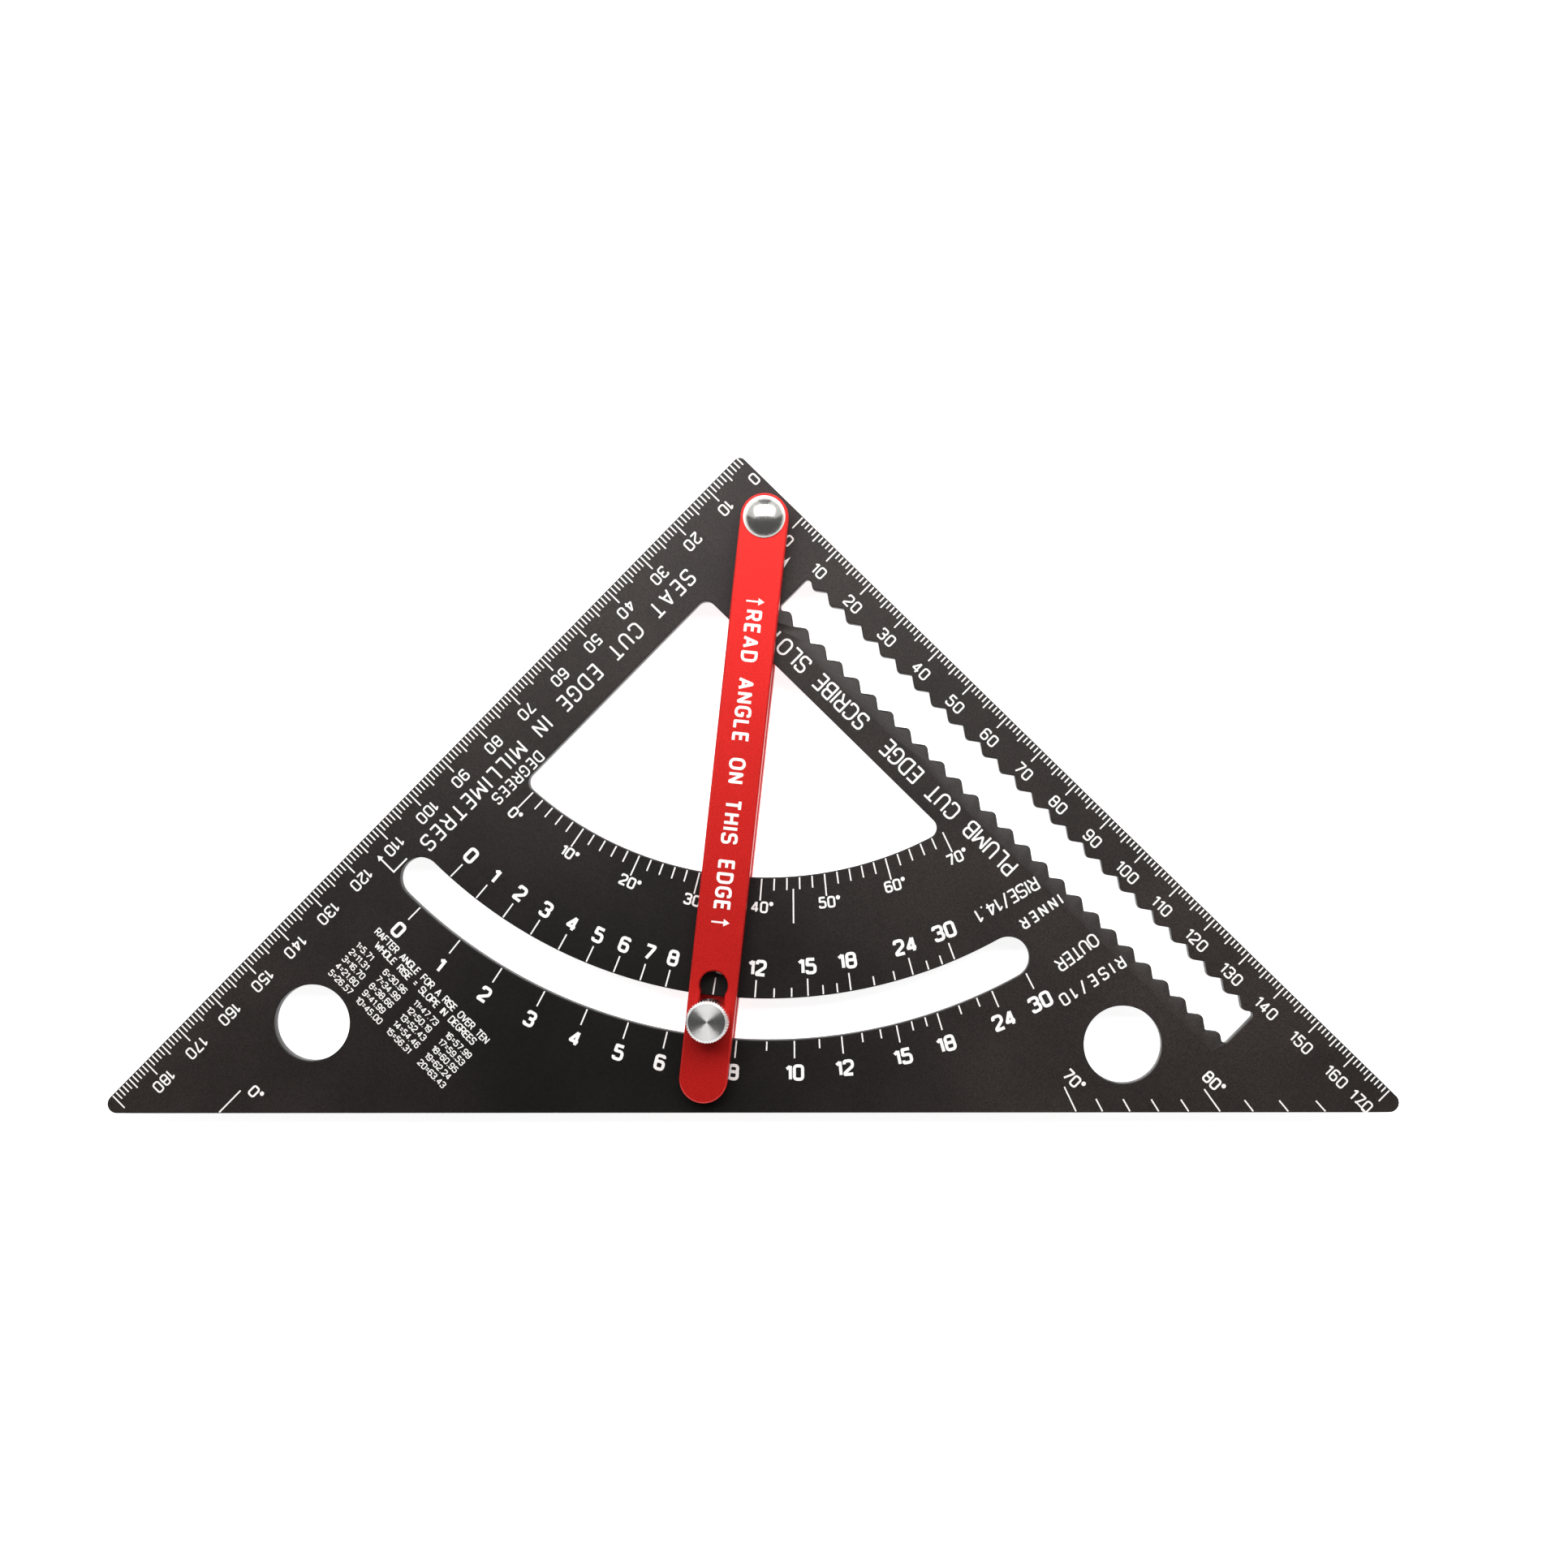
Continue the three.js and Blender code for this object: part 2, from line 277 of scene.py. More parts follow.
def ring_profile(inner, outer, low, high, edge):
    """The section of a washer or collar with every edge broken by that radius."""
    return rounded([(inner, low, edge), (outer, low, edge), (outer, high, edge), (inner, high, edge)],
                   step=math.radians(30))


PIVOT = Vector((0, 0, 0))

# %% [markdown]
# ## Camera, floor and light
#
# The camera looks down on the square, a little off the vertical, with the pivot corner at the
# top. One large softbox with two dimmer wings leans over the object from beyond the pivot corner,
# and the backdrop glows at the horizon. Overhead stays dim. The polished dome then shows a bright
# patch above a dark lower half inside a light rim, the turned knob shows two bright sectors, and
# the level black plate mirrors mostly the dim roof, a little lighter toward the softbox.

# %% Camera
EYE = Vector((29.25, 62.60, 442.66)) * MM
LOOK_AT = Vector((36.85, 41.81, 8.8)) * MM
LENS = 47.56
ROLL = math.radians(-0.41)
TOWARD_PIVOT = Vector((-1, -1, 0)).normalized()
TO_THE_RIGHT = Vector((-1, 1, 0)).normalized()


def facing(place, target, up):
    """The matrix of something at a place that looks at a target along its own -Z."""
    back = (place - target).normalized()
    right = up.cross(back).normalized()
    turn = Matrix((right, back.cross(right), back)).transposed()
    return Matrix.Translation(place) @ turn.to_4x4()


camera_data = bpy.data.cameras.new("view_camera")
camera_data.lens = LENS
camera_data.sensor_width = 36
camera_data.clip_start = 0.01
camera = add_object("view_camera", camera_data)
camera.matrix_world = facing(EYE, LOOK_AT, TOWARD_PIVOT) @ Matrix.Rotation(ROLL, 4, "Z")
bpy.context.scene.camera = camera
print("camera", [round(v, 3) for v in camera.location])

# %% Softboxes
# Each panel: the side it stands on, how far out, how high, its width and height, and its watts.
PANELS = {
    "softbox": (TOWARD_PIVOT, 0.42, 0.62, 1.00, 0.50, 10.4),
    "right_wing": ((TOWARD_PIVOT + TO_THE_RIGHT).normalized(), 0.66, 0.44, 0.80, 0.80, 1.2),
    "left_wing": ((TOWARD_PIVOT - TO_THE_RIGHT).normalized(), 0.66, 0.44, 0.80, 0.80, 1.2),
}
STAGE_MIDDLE = Vector((60 * MM, 60 * MM, 0))


def add_panel(name, side, out, up, width, height, watts):
    data = bpy.data.lights.new(name, "AREA")
    data.shape = "RECTANGLE"
    data.size = width
    data.size_y = height
    data.energy = watts
    place = STAGE_MIDDLE + side * out + Vector((0, 0, up))
    add_object(name, data).matrix_world = facing(place, STAGE_MIDDLE, Vector((0, 0, 1)))


for panel_name, settings in PANELS.items():
    add_panel(panel_name, *settings)

ROOM = 0.10
world = bpy.data.worlds.new("pale_room")
world.use_nodes = True
world.node_tree.nodes["Background"].inputs["Color"].default_value = (1, 1, 1, 1)
world.node_tree.nodes["Background"].inputs["Strength"].default_value = ROOM
bpy.context.scene.world = world
bpy.context.scene.view_settings.view_transform = "Standard"
print(len(PANELS), "panels and a room of", ROOM)

# %% [markdown]
# ## Materials
#
# Anodised aluminium keeps the fine blasted grain of the sheet under its dye. Here a fine noise
# breaks up both the colour and the surface, and a slow noise gives the cloudy patches that dye
# leaves. All patterns read Object coordinates in metres, so a noise scale is the number of grains
# in a metre and the grain has the same size on every piece.

# %% Material helpers
def add_node(tree, kind, links=(), **settings):
    """A node with its settings, and links given as (input name or number, source socket or value)."""
    node = tree.nodes.new(kind)
    for key, value in settings.items():
        setattr(node, key, value)
    for socket, value in links:
        if hasattr(value, "links"):
            tree.links.new(value, node.inputs[socket])
        else:
            node.inputs[socket].default_value = value
    return node


def math_node(tree, operation, *values):
    """The result of a calculation on numbers or sockets."""
    return add_node(tree, "ShaderNodeMath", enumerate(values), operation=operation).outputs["Value"]


def vector_node(tree, operation, *values):
    """The result of a calculation on vectors, where that is a vector too."""
    return add_node(tree, "ShaderNodeVectorMath", enumerate(values), operation=operation).outputs["Vector"]


def length_of(tree, value):
    return add_node(tree, "ShaderNodeVectorMath", [(0, value)], operation="LENGTH").outputs["Value"]


def new_material(name, color, metallic, roughness, specular=0.5):
    """A material with its shader set, and its object coordinates ready for patterns."""
    material = bpy.data.materials.new(name)
    material.use_nodes = True
    tree = material.node_tree
    shader = tree.nodes["Principled BSDF"]
    for label, value in (("Base Color", (*color, 1)), ("Metallic", metallic),
                         ("Roughness", roughness), ("Specular IOR Level", specular)):
        shader.inputs[label].default_value = value
    return material, tree, shader, add_node(tree, "ShaderNodeTexCoord").outputs["Object"]


def noise(tree, where, scale, detail=2.0, rough=0.5):
    return add_node(tree, "ShaderNodeTexNoise", [
        ("Vector", where), ("Scale", scale), ("Detail", detail), ("Roughness", rough)]).outputs["Fac"]


def ramp(tree, value, stops):
    """A colour ramp from two (position, grey or colour) stops."""
    node = add_node(tree, "ShaderNodeValToRGB", [("Fac", value)])
    for element, (position, color) in zip(node.color_ramp.elements, stops):
        element.position = position
        element.color = (*color, 1) if hasattr(color, "__len__") else (color, color, color, 1)
    return node.outputs["Color"]


def multiply(tree, a, b):
    return add_node(tree, "ShaderNodeMix", [(0, 1.0), (6, a), (7, b)],
                    data_type="RGBA", blend_type="MULTIPLY").outputs[2]


def bump(tree, shader, height, depth):
    """Raises the surface by a pattern. Depth is the real height of its relief in metres."""
    node = add_node(tree, "ShaderNodeBump", [("Strength", 1.0), ("Distance", depth), ("Height", height)])
    tree.links.new(node.outputs["Normal"], shader.inputs["Normal"])


# %% Anodised finishes
GRAIN = 5600
CLOUDS = 42


def fade_from(tree, where, centre, reach, stops):
    """Painted sheen: a slow change of tone with the distance from a point, standing in for the softbox's
    broad reflection.
    """
    offset = add_node(tree, "ShaderNodeMapping", [
        ("Vector", where), ("Location", (-centre[0] / reach, -centre[1] / reach, 0)),
        ("Scale", (1 / reach, 1 / reach, 0))])
    return ramp(tree, length_of(tree, offset.outputs["Vector"]), stops)


def anodised(name, dark, bright, metallic, roughness, specular, depth, cloud_dark, painted_sheen_at):
    material, tree, shader, where = new_material(name, bright, metallic, roughness, specular)
    grain = noise(tree, where, GRAIN, detail=1.5, rough=0.6)
    dye = ramp(tree, grain, [(0.36, dark), (0.64, bright)])
    clouds = ramp(tree, noise(tree, where, CLOUDS, detail=3), [(0.35, cloud_dark), (0.65, 1.0)])
    # Painted sheen: the dye colour is scaled by a slow tone change with the distance from one point.
    painted_sheen_tone = fade_from(tree, where, *painted_sheen_at)
    color = multiply(tree, multiply(tree, dye, clouds), painted_sheen_tone)
    tree.links.new(color, shader.inputs["Base Color"])
    worn = ramp(tree, grain, [(0.3, roughness - 0.06), (0.7, roughness + 0.08)])
    tree.links.new(worn, shader.inputs["Roughness"])
    bump(tree, shader, grain, depth)
    return material


# Painted sheen on the plate: darker about a point in the middle, lighter toward the apex and corners.
black_anodised = anodised("black_anodised", (0.0150, 0.0120, 0.0109), (0.0370, 0.0296, 0.0272),
                          0.0, 0.38, 0.17, 0.000010, 0.66,
                          ((105 * MM, 62 * MM), 160 * MM, [(0.15, 0.28), (0.58, 1.0)]))
# Painted sheen on the arm: full tone near the pivot under the softbox, a little darker toward the tip.
red_anodised = anodised("red_anodised", (0.42, 0.0060, 0.0050), (0.70, 0.0180, 0.0135),
                        0.55, 0.36, 0.3, 0.000012, 0.92,
                        ((0, 0), 130 * MM, [(0.1, 1.0), (0.95, 0.92)]))
print("anodised grain", round(1 / GRAIN / MM, 2), "mm")

# %% [markdown]
# The marks are filled with a slightly chalky white. The dome is polished until only faint buffing
# lines are left. Zinc plate is a blotchy, softly shining grey, and nylon is a waxy natural white.

# %% Other finishes
def white_fill():
    material, tree, shader, where = new_material("white_marks", (0.83, 0.82, 0.80), 0.0, 0.55)
    chalk = ramp(tree, noise(tree, where, 5200), [(0.3, (0.66, 0.64, 0.62)), (0.65, (0.80, 0.78, 0.76))])
    tree.links.new(chalk, shader.inputs["Base Color"])
    bump(tree, shader, noise(tree, where, 5200), 0.000006)
    return material


def polished_dome():
    material, tree, shader, where = new_material("polished_chrome", (0.70, 0.69, 0.66), 1.0, 0.18)
    buffing = noise(tree, where, 2200, detail=4)
    tree.links.new(ramp(tree, buffing, [(0.3, 0.15), (0.75, 0.26)]), shader.inputs["Roughness"])
    bump(tree, shader, buffing, 0.0000012)
    return material


def plated_steel():
    material, tree, shader, where = new_material("zinc_steel", (0.62, 0.63, 0.64), 1.0, 0.34)
    blotches = noise(tree, where, 900, detail=3)
    tint = ramp(tree, blotches, [(0.3, (0.52, 0.53, 0.55)), (0.7, (0.70, 0.70, 0.69))])
    tree.links.new(tint, shader.inputs["Base Color"])
    tree.links.new(ramp(tree, blotches, [(0.3, 0.28), (0.7, 0.42)]), shader.inputs["Roughness"])
    bump(tree, shader, noise(tree, where, 4200), 0.000004)
    return material


def natural_nylon():
    material, tree, shader, where = new_material("nylon", (0.80, 0.77, 0.70), 0.0, 0.5)
    haze = ramp(tree, noise(tree, where, 700), [(0.3, (0.74, 0.71, 0.63)), (0.7, (0.84, 0.81, 0.75))])
    tree.links.new(haze, shader.inputs["Base Color"])
    bump(tree, shader, noise(tree, where, 3000), 0.000005)
    return material


white_marks = white_fill()
polished_chrome = polished_dome()
zinc_steel = plated_steel()
nylon = natural_nylon()

# %% [markdown]
# The knob was faced on a lathe. The tool leaves rings about a tenth of a millimetre apart, and a
# ring shines only where it runs across the light, which gives the bow tie of bright and dark
# sectors. Anisotropic gloss does this: the shader spreads the gloss along its tangent, so the
# tangent points straight out from the axis, across the rings.

# %% Turned metal
RING_PITCH = 0.11 * MM


def turned_metal_about(centre):
    material, tree, shader, where = new_material("turned_metal", (0.78, 0.77, 0.76), 1.0, 0.26)
    offset = add_node(tree, "ShaderNodeMapping", [("Vector", where), ("Location", (-centre.x, -centre.y, 0))])
    flat = vector_node(tree, "MULTIPLY", offset.outputs["Vector"], (1, 1, 0))
    tree.links.new(vector_node(tree, "NORMALIZE", flat), shader.inputs["Tangent"])
    shader.inputs["Anisotropic"].default_value = 1.0
    wave = math_node(tree, "PINGPONG", length_of(tree, flat), RING_PITCH / 2)
    rings = math_node(tree, "DIVIDE", wave, RING_PITCH / 2)
    tint = ramp(tree, rings, [(0.1, (0.66, 0.65, 0.64)), (0.8, (0.84, 0.83, 0.82))])
    tree.links.new(tint, shader.inputs["Base Color"])
    bump(tree, shader, noise(tree, where, 5200), 0.000002)
    return material


turned_metal = turned_metal_about(CLAMP)
print("facing rings every", RING_PITCH / MM, "mm")

# %% [markdown]
# ## Floor
#
# A pale light table just under the rivet's tail and the screw head, which the square rests on. Its
# glow keeps the openings white. Far out it sweeps up into a low round wall, so that no view shows
# its edge, and the wall gives the polished dome its light rim.

# %% Floor
FLOOR_GLOW = 0.85


def pale_floor():
    material, tree, shader, where = new_material("pale_floor", (0.90, 0.90, 0.90), 0.0, 0.9, 0.1)
    speckle = ramp(tree, noise(tree, where, 400), [(0.3, 0.89), (0.7, 0.91)])
    tree.links.new(speckle, shader.inputs["Base Color"])
    shader.inputs["Emission Color"].default_value = (1, 1, 1, 1)
    shader.inputs["Emission Strength"].default_value = FLOOR_GLOW
    return material


FLOOR_R = 3.0
WALL_H = 0.6
FLOOR_Z = cad_box[0][2] - 0.02 * MM
bend = arc(FLOOR_R - 0.5, FLOOR_Z + 0.5, 0.5, -math.pi / 2, 0)
floor_mesh = turned_mesh("floor", [(0, FLOOR_Z), (0.4, FLOOR_Z), *bend, (FLOOR_R, FLOOR_Z + WALL_H)], PIVOT)
floor_mesh.materials.append(pale_floor())
floor = add_object("floor", floor_mesh)

# %% [markdown]
# ## The plate
#
# The real plate is punched and milled from 3 mm sheet, tumbled until its edges are soft, and then
# anodised. The outline is a right triangle with soft corners. Its holes are the hand window, the
# arc slot that guides the clamp, the toothed scribing slot, two hang holes and the rivet bore.

# %% Plate outlines
def plate_outline():
    x, y = PLUMB_X, SEAT_Y
    return rounded([(x, y, APEX_R), (x + LEG, y, CORNER_R), (x, y + LEG, CORNER_R)], step=math.radians(6))


def window_outline():
    """Two straight sides that meet in a rounded corner, closed by an arc about the pivot."""
    r = WINDOW_CORNER_R
    seat_x = math.sqrt((WINDOW_ARC_R - r) ** 2 - (WINDOW_Y + r) ** 2)
    plumb_y = math.sqrt((WINDOW_ARC_R - r) ** 2 - (WINDOW_X + r) ** 2)
    seat_turn = math.atan2(WINDOW_Y + r, seat_x)
    plumb_turn = math.atan2(plumb_y, WINDOW_X + r)
    return (arc(WINDOW_X + r, WINDOW_Y + r, r, math.pi, 1.5 * math.pi)
            + arc(seat_x, WINDOW_Y + r, r, -0.5 * math.pi, seat_turn)
            + arc(0, 0, WINDOW_ARC_R, seat_turn, plumb_turn, math.radians(0.7))[1:-1]
            + arc(WINDOW_X + r, plumb_y, r, plumb_turn, math.pi))


def arc_slot_outline():
    a, b = SLOT_ENDS
    side = SLOT_W / 2
    fine = math.radians(0.7)
    far = arc(SLOT_R * math.cos(b), SLOT_R * math.sin(b), side, b, b + math.pi)
    near = arc(SLOT_R * math.cos(a), SLOT_R * math.sin(a), side, a + math.pi, a + 2 * math.pi)
    return (arc(0, 0, SLOT_R + side, a, b, fine)[:-1] + far
            + arc(0, 0, SLOT_R - side, b, a, fine)[1:-1] + near[:-1])


def toothed_side(valley_x, tip_x):
    """One long side of the scribing slot: rounded tips, and valleys half a pitch to either side."""
    corners = []
    for k in range(TOOTH_COUNT):
        y = TEETH_FROM + k * TOOTH_PITCH
        corners.append((valley_x, y, 0.9 * MM if k == 0 else 0.25 * MM))
        corners.append((tip_x + (tip_x - valley_x) * 0.12, y + TOOTH_PITCH / 2, 1.1 * MM))
    corners.append((valley_x, TEETH_FROM + TOOTH_COUNT * TOOTH_PITCH, 0.9 * MM))
    return corners


def toothed_slot_outline():
    inner = toothed_side(INNER_VALLEY_X, INNER_TIP_X)
    outer = toothed_side(OUTER_VALLEY_X, OUTER_TIP_X)
    return rounded(inner + outer[::-1], step=math.radians(14))


plate_outlines = [
    plate_outline(),
    window_outline(),
    arc_slot_outline(),
    toothed_slot_outline(),
    *[circle(x, y, HANG_HOLE_R, math.radians(3)) for x, y in HANG_HOLES],
    circle(0, 0, RIVET_BORE_R),
]
print("plate outlines have", [len(outline) for outline in plate_outlines], "points")

# %% [markdown]
# The inner row of teeth is dressed down a little towards its tips, so a pencil in a tooth sits
# close to the board. The plate's mesh is cut along the line where the slope starts, and the top
# face beyond it is lowered in proportion.

# %% Plate
PLATE_EDGE = 0.18 * MM
SLOPE_FROM_X = 14.0 * MM
SLOPE_DROP = 0.45 * MM

plate = flat_piece("ruled_plate", plate_outlines, plate_low.z, plate_high.z, PLATE_EDGE, 2, black_anodised)


def dress_inner_teeth(mesh):
    low_y = TEETH_FROM
    high_y = TEETH_FROM + TOOTH_COUNT * TOOTH_PITCH
    left_x = (OUTER_TIP_X + INNER_TIP_X) / 2
    work = bmesh.new()
    work.from_mesh(mesh)
    for point, normal in (((SLOPE_FROM_X, 0, 0), (1, 0, 0)), ((0, low_y, 0), (0, 1, 0)),
                          ((0, high_y, 0), (0, 1, 0))):
        parts = list(work.verts) + list(work.edges) + list(work.faces)
        bmesh.ops.bisect_plane(work, geom=parts, plane_co=point, plane_no=normal, dist=0.001 * MM)
    middle_z = (plate_low.z + plate_high.z) / 2
    for vert in work.verts:
        x, y, z = vert.co
        if z > middle_z and left_x < x < SLOPE_FROM_X and low_y < y < high_y:
            share = (SLOPE_FROM_X - x) / (SLOPE_FROM_X - INNER_TIP_X)
            vert.co.z -= SLOPE_DROP * share * share
    work.to_mesh(mesh)
    work.free()


dress_inner_teeth(plate.data)
keep_faces_flat(plate.data)
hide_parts("triangle_plate")
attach(plate, "square")
print("plate has", len(plate.data.polygons), "faces")

# %% [markdown]
# ## Scale lines
#
# A rule of this kind has several hundred lines, all of one width and a few lengths. Geometry Nodes
# suits that well: a plain mesh holds one point where each line starts, with its direction and its
# length as attributes, and the tree puts a thin bar on every point. The bars are a few hundredths
# of a millimetre proud of the plate, as the paint in a shallow mark is.

# %% Tree builder
def new_tree(name, inputs):
    """A geometry tree with a Geometry input and output, and further named inputs."""
    tree = bpy.data.node_groups.new(name, "GeometryNodeTree")
    tree.interface.new_socket(name="Geometry", in_out="OUTPUT", socket_type="NodeSocketGeometry")
    tree.interface.new_socket(name="Geometry", in_out="INPUT", socket_type="NodeSocketGeometry")
    for label, kind in inputs:
        tree.interface.new_socket(name=label, in_out="INPUT", socket_type="NodeSocket" + kind)
    return tree, tree.nodes.new("NodeGroupInput").outputs, tree.nodes.new("NodeGroupOutput").inputs


def finish_tree(tree, geometry, given, result):
    """Ends a tree with real geometry instead of instances, all in the given material."""
    real = add_node(tree, "GeometryNodeRealizeInstances", [("Geometry", geometry)])
    paint = add_node(tree, "GeometryNodeSetMaterial", [("Geometry", real.outputs["Geometry"]),
                                                       ("Material", given["Material"])])
    tree.links.new(paint.outputs["Geometry"], result["Geometry"])
    return tree


def attribute(tree, name):
    """The float attribute of that name on each point."""
    node = add_node(tree, "GeometryNodeInputNamedAttribute", [("Name", name)], data_type="FLOAT")
    return node.outputs["Attribute"]


def run_tree(source, tree, values):
    """Runs a tree on a mesh object with these inputs and returns the result as a plain mesh."""
    modifier = source.modifiers.new(tree.name, "NODES")
    modifier.node_group = tree
    for item in tree.interface.items_tree:
        if item.in_out == "INPUT" and item.name in values:
            modifier[item.identifier] = values[item.name]
    mesh = mesh_from(source)
    source.modifiers.remove(modifier)
    bpy.data.objects.remove(source)
    return mesh


def point_object(name, points, edges=(), **attributes):
    """A bare mesh of points and edges, with float attributes on its points."""
    mesh = bpy.data.meshes.new(name)
    mesh.from_pydata(points, edges, [])
    for key, values in attributes.items():
        mesh.attributes.new(key, "FLOAT", "POINT").data.foreach_set("value", values)
    return add_object(name, mesh)


# %% Line tree
def line_tree():
    tree, given, result = new_tree("scale_line_tree", [("Width", "Float"), ("Thickness", "Float"),
                                                       ("Material", "Material")])
    bar = add_node(tree, "GeometryNodeMeshCube", [("Size", (1, 1, 1))])
    from_end = add_node(tree, "GeometryNodeTransform", [("Geometry", bar.outputs["Mesh"]),
                                                        ("Translation", (0.5, 0, 0))])
    rotation = add_node(tree, "ShaderNodeCombineXYZ", [("Z", attribute(tree, "turn"))])
    size = add_node(tree, "ShaderNodeCombineXYZ", [("X", attribute(tree, "reach")),
                                                   ("Y", given["Width"]), ("Z", given["Thickness"])])
    place = add_node(tree, "GeometryNodeInstanceOnPoints", [
        ("Points", given["Geometry"]), ("Instance", from_end.outputs["Geometry"]),
        ("Rotation", rotation.outputs["Vector"]), ("Scale", size.outputs["Vector"])])
    return finish_tree(tree, place.outputs["Instances"], given, result)


LINE_W = 0.30 * MM
MARK_T = 0.05 * MM
PROUD = 0.005 * MM
MARK_Z = PLATE_TOP + PROUD
lines = []


def add_line(x, y, turn, reach):
    lines.append((x, y, turn, reach))


# %% [markdown]
# The two legs carry millimetre scales. The seat scale starts at the sharp corner. The plumb scale
# starts where the zero line of the arm meets the edge. Tens are longest, fives are middling.

# %% Millimetre scales
READ_OFFSET = 5.3 * MM
EDGE_START = 0.22 * MM
SEAT_LENGTHS = (3.6 * MM, 2.6 * MM, 1.85 * MM)
PLUMB_LENGTHS = (3.1 * MM, 2.1 * MM, 1.35 * MM)


def tick_length(n, lengths):
    return lengths[0] if n % 10 == 0 else lengths[1] if n % 5 == 0 else lengths[2]


for n in range(1, 191):
    add_line(PLUMB_X + n * MM, SEAT_Y + EDGE_START, math.pi / 2, tick_length(n, SEAT_LENGTHS))
for n in range(171):
    add_line(PLUMB_X + EDGE_START, READ_OFFSET + n * MM, 0, tick_length(n, PLUMB_LENGTHS))
print(len(lines), "millimetre lines")

# %% [markdown]
# Every angle line points along the arm's reading edge, so it lies on a line that passes the pivot
# at a fixed distance. The degree scale follows the window's arc. The two rafter scales follow the
# slot: the angle of a line is the slope of its number over a run of 10, or of 10 times the root
# of 2 for hips. The far end of the long edge carries the steep angles.

# %% Angle scales
COMMON_RUN = 10
HIP_RUN = 10 * math.sqrt(2)
LABELLED = (0, 1, 2, 3, 4, 5, 6, 7, 8, 10, 12, 15, 18, 24, 30)
RAFTER_MARKS = [*range(19), 20, 22, 24, 26, 28, 30]
HIP_MARKS_ONLY = (26, 28)


def reading_point(turn, along, across=READ_OFFSET):
    """The point that far along and across the line of a reading edge at that angle."""
    return (along * math.cos(turn) - across * math.sin(turn),
            along * math.sin(turn) + across * math.cos(turn))


def along_at_radius(radius):
    return math.sqrt(radius ** 2 - READ_OFFSET ** 2)


def add_reading_line(turn, start, reach):
    add_line(*reading_point(turn, start), turn, reach)


for degrees in range(0, 71, 2):
    reach = 4.6 * MM if degrees % 10 == 0 else 2.5 * MM
    add_reading_line(math.radians(degrees), along_at_radius(WINDOW_ARC_R + 0.25 * MM), reach)
add_reading_line(math.radians(45), 77.6 * MM, 7.2 * MM)

inner_end = along_at_radius(SLOT_R - SLOT_W / 2 - 0.25 * MM)
outer_start = along_at_radius(SLOT_R + SLOT_W / 2 + 0.25 * MM)
for n in RAFTER_MARKS:
    reach = 3.6 * MM if n in LABELLED else 1.9 * MM
    add_reading_line(math.atan(n / HIP_RUN), inner_end - reach, reach)
    if n not in HIP_MARKS_ONLY:
        add_reading_line(math.atan(n / COMMON_RUN), outer_start, reach)

LONG_EDGE_SUM = PLUMB_X + LEG + SEAT_Y


def along_at_long_edge(turn):
    """How far along a reading line meets the long edge, where x + y is constant."""
    c, s = math.cos(turn), math.sin(turn)
    return (LONG_EDGE_SUM - READ_OFFSET * (c - s)) / (c + s)


for degrees, reach in [(0, 6.5), *[(d, 5.6 if d % 10 == 0 else 2.9) for d in range(70, 89, 2)]]:
    turn = math.radians(degrees)
    add_reading_line(turn, along_at_long_edge(turn) - (reach + 0.3) * MM, reach * MM)

line_points = point_object("scale_lines", [(x, y, MARK_Z) for x, y, turn, reach in lines],
                           turn=[line[2] for line in lines], reach=[line[3] for line in lines])
line_mesh = run_tree(line_points, line_tree(),
                     {"Width": LINE_W, "Thickness": MARK_T, "Material": white_marks})
scale_lines = piece_from("scale_lines", line_mesh, white_marks)
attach(scale_lines, "square")
print(len(lines), "scale lines")

# %% [markdown]
# ## Figures and plain words
#
# Marking machines write with strokes of one width, so a stroke font is closer to the real thing
# than an outline font. Each character is a few polylines on a grid of height 1 with rounded
# corners. Geometry Nodes then sweeps a flat bar along every stroke. The words only say in general
# terms what an edge or a scale is for.

